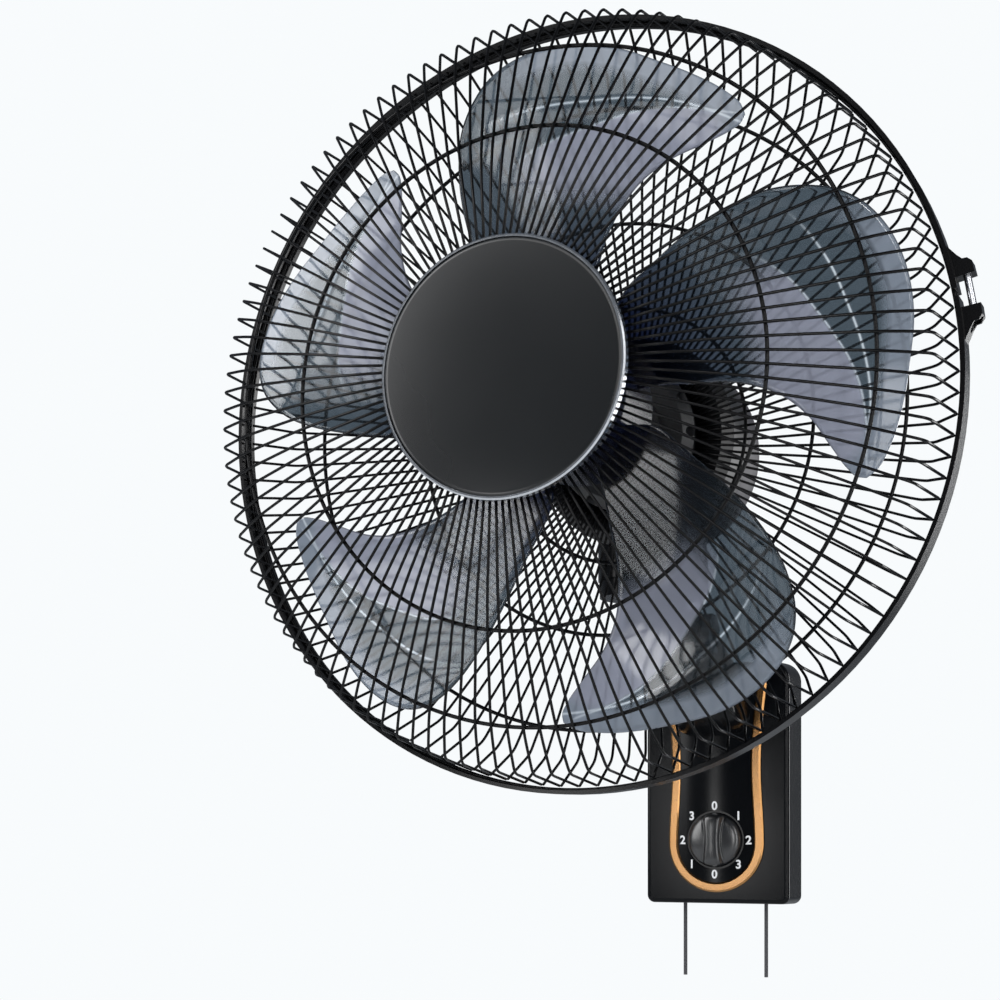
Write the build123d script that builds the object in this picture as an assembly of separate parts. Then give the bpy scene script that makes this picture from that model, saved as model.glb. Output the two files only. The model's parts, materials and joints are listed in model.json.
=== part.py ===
"""Wall mounted fan: a guarded five-blade head that pans and tilts on a short arm over a wall box.

Every piece is drawn as seen from the front: X to the right, Y up and Z out from the wall.
`onto_wall` and `onto_head` then stand the drawing up, so that the finished part has +Z up and
the wall behind it at Y = 0. The origin is the middle of the wall plate's back face.
Lengths are millimetres and angles are degrees.
"""
import os
from math import asin, atan2, cos, hypot, radians, sin, tan

from build123d import *

# Fits between neighbouring pieces
GAP = 0.3            # loose fit between mouldings
RUN = 0.04           # radial running clearance of the shafts
SLIP = 0.1           # close fit of pressed and screwed pieces

# Where the head stands
HEAD_OUT = 301.0     # wall to the clamp band's middle plane
HEAD_UP = 204.0      # head axis above the middle of the wall box

# Wall box
BOX_W, BOX_H, BOX_D = 103.0, 168.0, 32.0
BOX_DRAFT = 1.4      # the side walls spread by this angle towards the wall
BOX_WALL = 2.4
BOX_FOOT_R, BOX_TOP_R, BOX_EDGE_R = 6.0, 14.0, 3.0
PLATE_W, PLATE_T = 84.0, 2.0
HOLE_X, HOLE_Y, HOLE_R, HOLE_MID = 64.0, 88.0, 2.75, 18.0      # wall screws

# Dial, knob and the gilt line round them
DIAL_UP = 44.5       # dial centre above the foot of the box
KNOB_R, KNOB_RIM, KNOB_H = 19.0, 5.0, 13.0
LINE_R, LINE_W, LINE_T, LINE_EDGE = 34.0, 6.6, 2.4, 1.2
WAIST_UP = 44.0      # narrowest place of the line above its round end
PANEL_RISE, PANEL_ROUND = 4.6, 120.0

# Pull cords
CORD_X, CORD_OUT, CORD_R, CORD_DROP = 29.5, 10.0, 1.35, 51.3
CORD_PULL = 10.0

# Arm, tilt joint and pan joint
STRUT_W, STRUT_LEN, STRUT_T = 34.0, 56.0, 2.5
TILT_OUT = 142.0
KNUCKLE_R, FORK_W, TONGUE_W = 16.0, 44.0, 26.0
TILT_PIN_R = 4.0
PAN_BACK = 132.0     # pan axis behind the band's middle plane
PAN_PLATE_R, PAN_PLATE_T, PAN_GAP, LID_T = 33.0, 3.5, 7.0, 2.4
POST_R = 6.0
PAN_SWING = 40.0     # the head pans this far each way
CRANK_R, CRANK_TURN = 10.0, 130.0
CRANK_PIN_R = 2.5
DRIVE_R, DRIVE_H, DRIVE_OFFSET = 22.0, 12.3, 17.5

# Motor
MOTOR_R, MOTOR_FRONT, MOTOR_JOINT, MOTOR_REAR = 63.0, 92.0, 128.0, 188.0   # behind the band
MOTOR_WALL = 2.5
REAR_FLAT, REAR_DEPTH, REAR_FACETS = 42.0, 42.0, 6
SPIGOT_R, SPIGOT_LEN, SEAT_R, SEAT_H = 25.0, 20.0, 42.0, 5.0
STATOR_R, STATOR_BORE, STATOR_FRONT, STATOR_LEN = 44.0, 22.2, 112.0, 38.0
SHAFT_R, BUSH_R, AIR_GAP = 4.0, 9.0, 0.6
BOLT_R, BOLT_PCR = 2.0, 40.0

# Guards
BAND_R, BAND_W, BAND_T, LIP = 216.0, 15.0, 1.2, 1.0
WIRE, RING_WIRE, RIM_WIRE = 1.6, 2.2, 2.2
WIRES, WIRE_TURN = 120, 0.4     # the first wire stands this far from +X, in degrees
FRONT_EYE, FRONT_EYE_H = 60.0, 102.0         # corners of a front wire: radius, or way in from the rim
FRONT_MID, FRONT_MID_H = 93.4, 85.5
FRONT_OUT, FRONT_OUT_H = 30.9, 57.5
FRONT_EDGE, FRONT_EDGE_H = 7.4, 41.0
REAR_EYE, REAR_EYE_H = 40.0, -84.7           # corners of a rear wire
REAR_MID, REAR_MID_H = 80.0, -79.0
REAR_EDGE, REAR_EDGE_H = 17.4, -26.5
FRONT_RING_MID, FRONT_RING_OUT = 81.9, 32.4                # support rings, in from the rim
REAR_RING_IN, REAR_RING_MID, REAR_RING_OUT = 76.0, 92.4, 34.7
CLASP_ANGLE = 10.8

# Badge
BADGE_R, BADGE_T, BADGE_DOME, BADGE_RIM = 65.8, 4.2, 3.0, 1.7

# Fan
BLADES = 5
FAN_CLEAR = 17.5     # blades to rim
BLADE_START = 17.4   # direction of the first blade at rest
BLADE_T = 2.0
BLADE_ROOT, BLADE_END = 34.0, 200.0          # first and last slice of the blade sheet
ROOT_SLICE = (11.6, 0.335, 0.0045)           # height, slope and camber of the slices
END_SLICE = (19.9, 0.228, 0.0004)
BLADE_BULGE = 45.0
TIP_ROUND = 6.0
HUB_R, HUB_FRONT, HUB_BACK, HUB_WALL = 41.0, 38.0, -12.0, 2.5
BOSS_R, BOSS_BACK = 11.0, -6.0
SPIN_R, SPIN_LEN = 16.0, 16.0

# Derived positions
DIAL_Y = -BOX_H / 2 + DIAL_UP
BOX_SPREAD = BOX_D * tan(radians(BOX_DRAFT))
FOOT_Y = -BOX_H / 2 - BOX_SPREAD / 2
STRUT_UP = BOX_H / 2 - 28.0
PAN_FLOOR = -(MOTOR_R + 28.0)                            # foot of the pan tray, from the head axis
TILT_UP = HEAD_UP + PAN_FLOOR - 5.0 - KNUCKLE_R
LID_LOW = PAN_FLOOR + PAN_PLATE_T + PAN_GAP
HOUSING_LOW = LID_LOW + LID_T + SLIP
CRANK_BACK = PAN_BACK + CRANK_R / sin(radians(PAN_SWING))
DRIVE_BACK = CRANK_BACK + DRIVE_OFFSET
BAND_IN = BAND_R - BAND_T
RIM_R = BAND_IN - GAP - RIM_WIRE / 2
FRONT_PATH = ((FRONT_EYE, FRONT_EYE_H), (RIM_R - FRONT_MID, FRONT_MID_H), (RIM_R - FRONT_OUT, FRONT_OUT_H),
              (RIM_R - FRONT_EDGE, FRONT_EDGE_H))
REAR_PATH = ((REAR_EYE, REAR_EYE_H), (REAR_MID, REAR_MID_H), (RIM_R - REAR_EDGE, REAR_EDGE_H))
FRONT_RINGS = (FRONT_EYE + 3.0, RIM_R - FRONT_RING_MID, RIM_R - FRONT_RING_OUT)
REAR_RINGS = (REAR_RING_IN, RIM_R - REAR_RING_MID, RIM_R - REAR_RING_OUT)
FAN_R = RIM_R - FAN_CLEAR

onto_wall = Rot(90, 0, 0)
onto_head = Pos(0, -HEAD_OUT, HEAD_UP) * Rot(90, 0, 0)


def turned(*points):
    """Solid of revolution about Z through (radius, height) points."""
    return revolve(make_face(Plane.XZ * Polyline(*points, close=True)), Axis.Z)


def tube(outer, inner, low, high):
    """Plain sleeve along Z between two heights."""
    body = Pos(0, 0, low) * Cylinder(outer, high - low, align=(Align.CENTER, Align.CENTER, Align.MIN))
    if inner:
        body -= Pos(0, 0, low) * Cylinder(inner, high - low, align=(Align.CENTER, Align.CENTER, Align.MIN))
    return body


def rod(radius, start, end):
    """Round bar between two points."""
    axis = Vector(*end) - Vector(*start)
    return Plane(origin=start, z_dir=axis) * Cylinder(
        radius, axis.length, align=(Align.CENTER, Align.CENTER, Align.MIN))


def block(low, high):
    """Box between two opposite corners."""
    size = [b - a for a, b in zip(low, high)]
    return Pos(*[(a + b) / 2 for a, b in zip(low, high)]) * Box(*size)


def ribbon(path, width):
    """Outline of a bar of constant width along a bent path, mitred at its bends."""
    sides = ([], [])
    for i, (x, y) in enumerate(path):
        near = [j for j in (i - 1, i) if 0 <= j < len(path) - 1]
        turns = [atan2(path[j + 1][1] - path[j][1], path[j + 1][0] - path[j][0]) for j in near]
        middle = sum(turns) / len(turns)
        reach = width / 2 / cos(turns[0] - middle)
        for side, sign in zip(sides, (1, -1)):
            side.append((x - sign * reach * sin(middle), y + sign * reach * cos(middle)))
    return sides[0] + sides[1][::-1]


def path_height(path, radius):
    """Height of a guard wire's centre line at a radius."""
    for (r0, h0), (r1, h1) in zip(path, path[1:]):
        if r0 <= radius <= r1:
            return h0 + (h1 - h0) * (radius - r0) / (r1 - r0)
    raise ValueError("radius is off the wire")


# ---------------------------------------------------------------- wall box

def box_outline(inset=0.0):
    """Front view of the box at the wall: small foot corners, larger top corners."""
    shape = Rectangle(BOX_W + BOX_SPREAD - 2 * inset, BOX_H + BOX_SPREAD - 2 * inset)
    corners = shape.vertices().sort_by(Axis.Y)
    shape = fillet(corners[:2], BOX_FOOT_R - inset)
    return fillet(shape.vertices().sort_by(Axis.Y)[-2:], BOX_TOP_R - inset)


def base_housing():
    """Moulded shell with its back open to the wall."""
    shell = extrude(box_outline(), BOX_D, taper=BOX_DRAFT)
    shell = fillet(shell.faces().sort_by(Axis.Z)[-1].edges(), BOX_EDGE_R)
    core = extrude(box_outline(BOX_WALL), BOX_D - BOX_WALL, taper=BOX_DRAFT)
    shell -= core
    shell -= Pos(0, DIAL_Y, BOX_D) * Cylinder(5.0, 3 * BOX_WALL)
    shell -= Pos(0, STRUT_UP, BOX_D) * Box(STRUT_W + 2 * GAP, STRUT_W + 2 * GAP, 3 * BOX_WALL)
    for x in (-CORD_X, CORD_X):
        shell -= rod(BUSH_NECK_R + SLIP, (x, FOOT_Y - 3, CORD_OUT), (x, FOOT_Y + 6, CORD_OUT))
    shell -= rod(INLET_R + SLIP, (0, FOOT_Y - 3, INLET_OUT), (0, FOOT_Y + 6, INLET_OUT))
    for x in (-FOOT_SCREW_X, FOOT_SCREW_X):
        shell -= rod(1.6, (x, FOOT_Y - 3, FOOT_SCREW_OUT), (x, FOOT_Y + 6, FOOT_SCREW_OUT))
        shell -= rod(3.0, (x, FOOT_Y - 3, FOOT_SCREW_OUT), (x, FOOT_Y + FOOT_SINK, FOOT_SCREW_OUT))
    return shell


BUSH_NECK_R, BUSH_FLANGE_R, BUSH_BORE_R, BUSH_TOP = 3.2, 4.4, 2.1, 4.2
INLET_R, INLET_OUT = 4.5, 11.0
FOOT_SCREW_X, FOOT_SCREW_OUT, FOOT_SINK = 16.0, 9.0, 1.5
FLANGE_Y = BOX_H / 2 + BOX_SPREAD / 2 - BOX_WALL - 0.9     # outer face of the plate's flanges


def wall_plate():
    """Pressed steel plate with a lip above and below that locates the box."""
    plate = extrude(RectangleRounded(PLATE_W, 2 * FLANGE_Y - 2 * PLATE_T, 5.0), PLATE_T)
    for x in (-HOLE_X / 2, HOLE_X / 2):
        for y in (HOLE_MID - HOLE_Y / 2, HOLE_MID + HOLE_Y / 2):
            plate -= Pos(x, y, 0) * Cylinder(HOLE_R, 3 * PLATE_T)
    for side, half in ((-1, 22.0), (1, 14.0)):
        near, far = sorted((side * (FLANGE_Y - 2 * PLATE_T), side * FLANGE_Y))
        plate += block((-half, near, 0), (half, far, PLATE_T))
        near, far = sorted((side * (FLANGE_Y - PLATE_T), side * FLANGE_Y))
        plate += block((-half, near, 0), (half, far, 15.0))
    for x in (-FOOT_SCREW_X, FOOT_SCREW_X):
        plate -= rod(1.6, (x, -FLANGE_Y - 1, FOOT_SCREW_OUT), (x, -FLANGE_Y + 3, FOOT_SCREW_OUT))
    notch = INLET_R + 1.0
    return plate - block((-notch, -FLANGE_Y - 1, INLET_OUT - notch), (notch, -FLANGE_Y + 3, 20.0))


def foot_screws():
    """Two screws up through the foot of the box into the plate's lower lip."""
    screws = []
    for x in (-FOOT_SCREW_X, FOOT_SCREW_X):
        under = FOOT_Y + FOOT_SINK
        shank = rod(1.5, (x, under, FOOT_SCREW_OUT), (x, under + 8.0, FOOT_SCREW_OUT))
        head = rod(2.8, (x, under - 1.0, FOOT_SCREW_OUT), (x, under, FOOT_SCREW_OUT))
        screws.append(shank + head)
    return Compound(children=screws)


def arm_strut():
    """Square steel tube welded to the plate, which carries the arm through the box front."""
    half = STRUT_W / 2
    tube_ = block((-half, STRUT_UP - half, PLATE_T), (half, STRUT_UP + half, PLATE_T + STRUT_LEN))
    inner = half - STRUT_T
    return tube_ - block((-inner, STRUT_UP - inner, 0), (inner, STRUT_UP + inner, 2 * STRUT_LEN))


def horseshoe(radius, top):
    """Outline that is round below the dial, waisted above it and wider again at its top."""
    centre = DIAL_Y - 2.3
    waist, flare = radius - 2.1, radius + 4.0
    bow = ThreePointArc((-radius, centre), (0, centre - radius), (radius, centre))
    right = Spline((radius, centre), (waist, centre + WAIST_UP), (flare, top), tangents=[(0, 1), (0.16, 1)])
    left = Spline((-flare, top), (-waist, centre + WAIST_UP), (-radius, centre), tangents=[(0.16, -1), (0, -1)])
    return make_face(Curve() + [bow, right, Line((flare, top), (-flare, top)), left])


LINE_TOP = BOX_H / 2 - BOX_EDGE_R - 1.0


def gilt_line():
    """Horseshoe trim laid on the box front round the dial panel, open at its top."""
    outer = horseshoe(LINE_R, LINE_TOP)
    inner = horseshoe(LINE_R - LINE_W, LINE_TOP)
    line = extrude(outer - inner, LINE_T)
    line = chamfer(line.faces().sort_by(Axis.Z)[-1].edges(), LINE_EDGE)
    return Pos(0, 0, BOX_D) * line


def arm_section(out, width, low, high, corner):
    """One upright section of the arm at a distance from the wall."""
    return Pos(0, (low + high) / 2, out) * RectangleRounded(width, high - low, corner)


ARM_FOOT_W, ARM_FOOT_LOW, ARM_FOOT_HIGH, ARM_FOOT_R = 50.0, 21.0, 22.0, 14.0   # where it leaves the box
ARM_MID_W, ARM_MID_LOW, ARM_MID_HIGH, ARM_MID_R = 48.0, 20.5, 30.0, 13.0       # over the strut's end


def neck_moulding():
    """Crowned dial panel that grows into the arm and ends in the tilt fork."""
    inner = LINE_R - LINE_W - GAP
    panel = extrude(horseshoe(inner, LINE_TOP), PANEL_RISE)
    crown = Pos(0, 0, PANEL_RISE - PANEL_ROUND) * Rot(90, 0, 0) * Cylinder(PANEL_ROUND, 3 * BOX_H)
    panel = Pos(0, 0, BOX_D) * (panel & crown)
    end, crest = TILT_OUT - 12.0, TILT_UP + KNUCKLE_R - 3.0
    arm = loft([
        arm_section(BOX_D + 0.5, ARM_FOOT_W, STRUT_UP - ARM_FOOT_LOW, STRUT_UP + ARM_FOOT_HIGH, ARM_FOOT_R),
        arm_section(PLATE_T + STRUT_LEN + 4.0, ARM_MID_W, STRUT_UP - ARM_MID_LOW, STRUT_UP + ARM_MID_HIGH,
                    ARM_MID_R),
        arm_section(TILT_OUT - 30.0, FORK_W + 2.0, TILT_UP - 23.0, crest, 12.0),
        arm_section(end, FORK_W, TILT_UP - KNUCKLE_R, crest, 4.0),
    ])
    arm += block((-FORK_W / 2, TILT_UP - KNUCKLE_R, end), (FORK_W / 2, crest, TILT_OUT))
    arm += rod(KNUCKLE_R, (-FORK_W / 2, TILT_UP, TILT_OUT), (FORK_W / 2, TILT_UP, TILT_OUT))
    half = TONGUE_W / 2 + GAP
    arm -= block((-half, 0, TILT_OUT - KNUCKLE_R - 1.5), (half, 2 * TILT_UP, TILT_OUT + 30))
    arm -= rod(TILT_PIN_R + RUN, (-40, TILT_UP, TILT_OUT), (40, TILT_UP, TILT_OUT))
    body = panel + arm
    half = STRUT_W / 2 + GAP
    body -= block((-half, STRUT_UP - half, 0), (half, STRUT_UP + half, PLATE_T + STRUT_LEN + GAP))
    for x in (-1, 1):
        body -= rod(1.6, (x * 40, STRUT_UP, ARM_SCREW_OUT), (x * 10, STRUT_UP, ARM_SCREW_OUT))
    dial = Pos(0, DIAL_Y, BOX_D + DIAL_FLOOR) * Cylinder(
        KNOB_R + 1.6, 10.0, align=(Align.CENTER, Align.CENTER, Align.MIN))
    body -= dial
    return body - Pos(0, DIAL_Y, BOX_D) * Cylinder(4.4, 20.0)


DIAL_FLOOR = 2.2
ARM_SCREW_OUT = 46.0


def arm_screws():
    """Two grub screws that lock the arm on the strut."""
    half = STRUT_W / 2 + SLIP
    return Compound(children=[
        rod(1.5, (x * half, STRUT_UP, ARM_SCREW_OUT), (x * (half + 4.6), STRUT_UP, ARM_SCREW_OUT))
        for x in (-1, 1)])


def speed_knob():
    """Round knob with a waisted finger bar across it."""
    low = BOX_D + DIAL_FLOOR + GAP
    knob = Pos(0, DIAL_Y, low) * Cylinder(
        KNOB_R, KNOB_RIM, align=(Align.CENTER, Align.CENTER, Align.MIN))
    knob = chamfer(knob.edges().sort_by(Axis.Z)[-1], 0.8)
    reach, end, waist = KNOB_R - 1.8, 4.6, 2.9
    sides = Curve() + [
        ThreePointArc((-end, -reach), (0, -reach - 1.4), (end, -reach)),
        ThreePointArc((end, -reach), (waist, 0), (end, reach)),
        ThreePointArc((end, reach), (0, reach + 1.4), (-end, reach)),
        ThreePointArc((-end, reach), (-waist, 0), (-end, -reach)),
    ]
    bar = extrude(make_face(sides), KNOB_H - KNOB_RIM, taper=4)
    knob += Pos(0, DIAL_Y, low + KNOB_RIM) * bar
    return knob - Pos(0, DIAL_Y, low) * Cylinder(3.0 + SLIP / 2, 2 * (KNOB_RIM - 1.0))


def switch_shaft():
    """Spindle from the switch into the knob."""
    top = BOX_D + DIAL_FLOOR + GAP + KNOB_RIM - 1.2
    return Pos(0, DIAL_Y, 0) * tube(3.0, 0, BOX_D - BOX_WALL - 10.0, top)


def rotary_switch():
    """Switch block behind the box front, with a well for its spindle."""
    high = BOX_D - BOX_WALL - SLIP
    body = block((-18, DIAL_Y - 18, high - 16), (18, DIAL_Y + 18, high))
    return body - Pos(0, DIAL_Y, 0) * tube(3.0 + 2 * RUN, 0, high - 10.2, high + 1)


SLIDER_LOW = FOOT_Y + BUSH_TOP + CORD_PULL + 1.0
SLIDER_LEN = 26.0


def pull_slider(x):
    """Plunger of a pull switch that the cord is tied to."""
    return rod(2.6, (x, SLIDER_LOW, CORD_OUT), (x, SLIDER_LOW + SLIDER_LEN, CORD_OUT))


def pull_switch(x):
    """Switch block that guides a plunger."""
    low, high = SLIDER_LOW + CORD_PULL + 3.0, SLIDER_LOW + SLIDER_LEN + 8.0
    inner, outer = sorted((x - 7.5 * (x / abs(x)), x + 8.0 * (x / abs(x))))
    body = block((inner, low, PLATE_T), (outer, high, CORD_OUT + 8.2))
    return body - rod(2.6 + 2 * RUN, (x, low - 1, CORD_OUT), (x, SLIDER_LOW + SLIDER_LEN + 0.4, CORD_OUT))


def pull_switches():
    """Speed and swing pull switches, one over each cord."""
    return Compound(children=[pull_switch(-CORD_X), pull_switch(CORD_X)])


def pull_cord(x):
    """Straight round cord with a rounded bare end."""
    end = FOOT_Y - CORD_DROP
    cord = rod(CORD_R, (x, end, CORD_OUT), (x, SLIDER_LOW, CORD_OUT))
    return fillet(cord.edges().sort_by(Axis.Y)[0], 0.8 * CORD_R)


def cord_bushes():
    """Bushes in the foot of the box where the cords come out, their flanges inside."""
    bushes = []
    for x in (-CORD_X, CORD_X):
        bush = rod(BUSH_NECK_R, (x, FOOT_Y + 0.4, CORD_OUT), (x, FOOT_Y + BUSH_TOP, CORD_OUT))
        bush += rod(BUSH_FLANGE_R, (x, FOOT_Y + BUSH_TOP - 1.2, CORD_OUT), (x, FOOT_Y + BUSH_TOP, CORD_OUT))
        bushes.append(bush - rod(BUSH_BORE_R, (x, FOOT_Y - 4, CORD_OUT), (x, FOOT_Y + 8, CORD_OUT)))
    return Compound(children=bushes)


def inlet_bush():
    """Flush bush in the foot, near the wall, for the supply lead."""
    bush = rod(INLET_R, (0, FOOT_Y + 0.4, INLET_OUT), (0, FOOT_Y + 5.0, INLET_OUT))
    return bush - rod(3.0, (0, FOOT_Y - 4, INLET_OUT), (0, FOOT_Y + 8, INLET_OUT))


def terminal_block():
    """Row of wire terminals on the wall plate."""
    block_ = block((-16, -14, PLATE_T), (16, -2, PLATE_T + 11))
    for x in (-10.5, -3.5, 3.5, 10.5):
        block_ -= Pos(x, -8, PLATE_T + 11) * Cylinder(2.2, 8)
    return block_


def capacitor():
    """Run capacitor in its flat case on the wall plate."""
    case = block((-18, 4, PLATE_T), (18, 26, PLATE_T + 15))
    return fillet(case.edges().filter_by(Axis.Z), 2.5)


# ---------------------------------------------------------------- tilt and pan joints

def tilt_pin():
    """Bolt through the fork and the tongue."""
    reach = FORK_W / 2
    pin = rod(TILT_PIN_R, (-reach - 6.0, TILT_UP, TILT_OUT), (reach + 7.0, TILT_UP, TILT_OUT))
    head = Pos(-reach - 3.2, TILT_UP, TILT_OUT) * Rot(0, 90, 0) * extrude(
        RegularPolygon(6.8, 6, major_radius=False), 5.0, both=False)
    return pin + Pos(-2.0, 0, 0) * head


def tilt_knob():
    """Fluted hand nut that clamps the tilt joint."""
    low = FORK_W / 2 + GAP
    knob = tube(13.0, TILT_PIN_R + RUN, 0, 10.0)
    for i in range(8):
        knob -= Rot(0, 0, 45 * i) * Pos(15.2, 0, 5.0) * Cylinder(4.0, 20.0)
    return Pos(low, TILT_UP, TILT_OUT) * Rot(0, 90, 0) * knob


def head_y(value):
    """Height over the head axis turned into a height over the wall box."""
    return value + HEAD_UP


def tilt_head():
    """Tongue on the tilt pin that widens into the round tray of the pan joint."""
    out, top = HEAD_OUT - PAN_BACK, head_y(PAN_FLOOR) + PAN_PLATE_T
    tongue = rod(KNUCKLE_R - 1.5, (-TONGUE_W / 2, TILT_UP, TILT_OUT), (TONGUE_W / 2, TILT_UP, TILT_OUT))
    side = Plane.YZ * make_face(Polyline(
        (TILT_UP + 4, TILT_OUT - 13), (top - 2, TILT_OUT - 2), (top - 2, out + 22), (TILT_UP + 10, out + 6),
        (TILT_UP - 13, TILT_OUT + 6), close=True))
    tongue += extrude(side, TONGUE_W / 2, both=True)
    brim = PAN_PLATE_T + PAN_GAP - 0.5
    tray = Rot(-90, 0, 0) * turned(
        (0, 0), (PAN_PLATE_R, 0), (PAN_PLATE_R, brim), (PAN_PLATE_R - 2, brim),
        (PAN_PLATE_R - 2, PAN_PLATE_T), (0, PAN_PLATE_T))
    cone = Rot(-90, 0, 0) * Pos(0, 0, -7.0) * Cone(13.0, 24.0, 7.0, align=(Align.CENTER, Align.CENTER, Align.MIN))
    body = tongue + Pos(0, top - PAN_PLATE_T, out) * (tray + cone)
    body -= rod(TILT_PIN_R + RUN, (-40, TILT_UP, TILT_OUT), (40, TILT_UP, TILT_OUT))
    return body - rod(POST_R + RUN, (0, top - 14.0, out), (0, top + 20, out))


def pan_post():
    """Hardened pivot post that stands in the tray."""
    top = head_y(PAN_FLOOR) + PAN_PLATE_T
    out = HEAD_OUT - PAN_BACK
    return rod(POST_R, (0, top - 13.8, out), (0, head_y(HOUSING_LOW) + 11.5, out))


CLIP_R, CLIP_UP = POST_R + 3.0, 8.0        # the clip's recess starts this far up the housing


def post_clip():
    """Snap ring that keeps the housing on the post."""
    out, low = HEAD_OUT - PAN_BACK, head_y(HOUSING_LOW) + CLIP_UP + 0.9
    ring = rod(CLIP_R, (0, low, out), (0, low + 1.2, out))
    return ring - rod(POST_R + RUN, (0, low - 5, out), (0, low + 5, out))


def swing_error():
    """Widest sideways error of the crank pin against an even swing, across the fork slot."""
    reach, worst = CRANK_BACK - PAN_BACK, 0.0
    for step in range(1, 131):
        turn = radians(CRANK_TURN * step / 130)
        x, y = CRANK_R * sin(turn), reach + CRANK_R * cos(turn)
        worst = max(worst, abs(atan2(x, y) - turn * PAN_SWING / CRANK_TURN) * hypot(x, y))
    return worst


def swing_fork():
    """Plate on the tray with the open slot that the crank pin works in."""
    top, out = head_y(PAN_FLOOR) + PAN_PLATE_T, HEAD_OUT - PAN_BACK
    half = CRANK_PIN_R + swing_error() + GAP
    reach = PAN_PLATE_R - 2.6
    plate = Circle(13.0) + Pos(0, -reach / 2) * Rectangle(2 * half + 8.0, reach)
    plate &= Circle(reach)
    plate -= Circle(POST_R + RUN)
    start = POST_R + 2.5
    plate -= Pos(0, -start - reach / 2) * Rectangle(2 * half, reach)
    return Pos(0, top, out) * Rot(-90, 0, 0) * extrude(Rot(0, 0, 180) * plate, 2.6)


def housing_plan(extra=0.0):
    """Plan of the pan housing: round over the pivot, with a tail over the swing motor."""
    plan = Pos(0, -PAN_BACK) * Circle(PAN_PLATE_R + 1.0 + extra)
    plan += Pos(0, -DRIVE_BACK) * Circle(DRIVE_R + 3.0 + extra)
    return plan + Pos(0, -(PAN_BACK + DRIVE_BACK) / 2) * Rectangle(
        2 * (DRIVE_R + 3.0 + extra), DRIVE_BACK - PAN_BACK)


def upright(shape, low, high):
    """Raise a plan drawn as (across, out from the band) between two heights over the head axis."""
    solid = extrude(shape, high - low)
    return Pos(0, low, 0) * Rot(-90, 0, 0) * mirror(solid, Plane.XZ)


def pan_lid():
    """Bottom plate of the pan housing."""
    lid = upright(housing_plan(), LID_LOW, LID_LOW + LID_T)
    lid -= rod(POST_R + RUN, (0, LID_LOW - 5, -PAN_BACK), (0, LID_LOW + 9, -PAN_BACK))
    return lid - rod(3.5, (0, LID_LOW - 5, -CRANK_BACK), (0, LID_LOW + 9, -CRANK_BACK))


def pan_housing():
    """Saddle under the motor that holds the pivot sleeve and the swing motor."""
    low = HOUSING_LOW
    body = upright(housing_plan(), low, -40.0)
    body -= Pos(0, 0, -PAN_BACK) * Cylinder(MOTOR_R + GAP, 3 * PAN_BACK)
    body -= rod(POST_R + RUN, (0, low - 2, -PAN_BACK), (0, low + CLIP_UP + 1, -PAN_BACK))
    body -= rod(CLIP_R + 0.6, (0, low + CLIP_UP, -PAN_BACK), (0, low + CLIP_UP + 5.0, -PAN_BACK))
    return body - rod(DRIVE_R + GAP, (0, low - 2, -DRIVE_BACK), (0, low + DRIVE_H + GAP, -DRIVE_BACK))


def swing_motor():
    """Flat synchronous motor that swings the head."""
    low = HOUSING_LOW + SLIP
    can = rod(DRIVE_R, (0, low, -DRIVE_BACK), (0, low + DRIVE_H - GAP, -DRIVE_BACK))
    return can - rod(3.5, (0, low - 1, -CRANK_BACK), (0, low + 3.0, -CRANK_BACK))


def swing_crank():
    """Crank arm with its spindle and its eccentric pin."""
    top, back = LID_LOW - 0.8, CRANK_BACK + CRANK_R
    arm = Pos(0, -(CRANK_BACK + back) / 2) * Rot(0, 0, 90) * SlotCenterToCenter(CRANK_R, 2 * CRANK_PIN_R + 4.0)
    crank = upright(arm, top - 3.0, top)
    crank += rod(3.0, (0, top - 1, -CRANK_BACK), (0, top + 5.4, -CRANK_BACK))
    return crank + rod(CRANK_PIN_R, (0, top - PAN_GAP + 1.0, -back), (0, top - 1, -back))


# ---------------------------------------------------------------- motor

def ring_of(shape, count, radius, start=0.0):
    """Copies of a piece on a circle about Z."""
    return [Rot(0, 0, start + 360 * i / count) * Pos(radius, 0, 0) * shape for i in range(count)]


def motor_front_cowl():
    """End shield: bearing spigot, seat for the rear guard and a deep skirt."""
    face, inner = -MOTOR_FRONT, -MOTOR_FRONT - MOTOR_WALL
    tip = face + SPIGOT_LEN
    cowl = turned(
        (BUSH_R, tip), (SPIGOT_R, tip), (SPIGOT_R, face + SEAT_H), (SEAT_R, face + SEAT_H), (SEAT_R, face),
        (MOTOR_R - 6, face), (MOTOR_R, face - 6), (MOTOR_R, -MOTOR_JOINT),
        (MOTOR_R - MOTOR_WALL, -MOTOR_JOINT), (MOTOR_R - MOTOR_WALL, face - 7), (MOTOR_R - 7.5, inner),
        (BUSH_R, inner))
    for post in ring_of(tube(4.5, 0, -STATOR_FRONT + SLIP, inner + 0.5), 4, BOLT_PCR, 45):
        cowl += post
    for hole in ring_of(tube(BOLT_R + SLIP, 0, -STATOR_FRONT - 1, inner - 1), 4, BOLT_PCR, 45):
        cowl -= hole
    return cowl


def rear_cover(inset):
    """Solid of the rear cover's outside, or of its hollow: a drum rounded into a flat back."""
    front, shoulder = -MOTOR_JOINT - GAP, -MOTOR_REAR + REAR_DEPTH
    width = MOTOR_R - REAR_FLAT
    bend = (width ** 2 + REAR_DEPTH ** 2) / (2 * width)
    centre, arc = MOTOR_R - bend, bend - inset
    reach = asin((REAR_DEPTH - inset) / arc)
    turns = [reach * i / REAR_FACETS for i in range(REAR_FACETS + 1)]
    bow = [(centre + arc * cos(turn), shoulder - arc * sin(turn)) for turn in turns]
    return turned((0, front), (MOTOR_R - inset, front), *bow, (0, bow[-1][1]))


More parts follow.
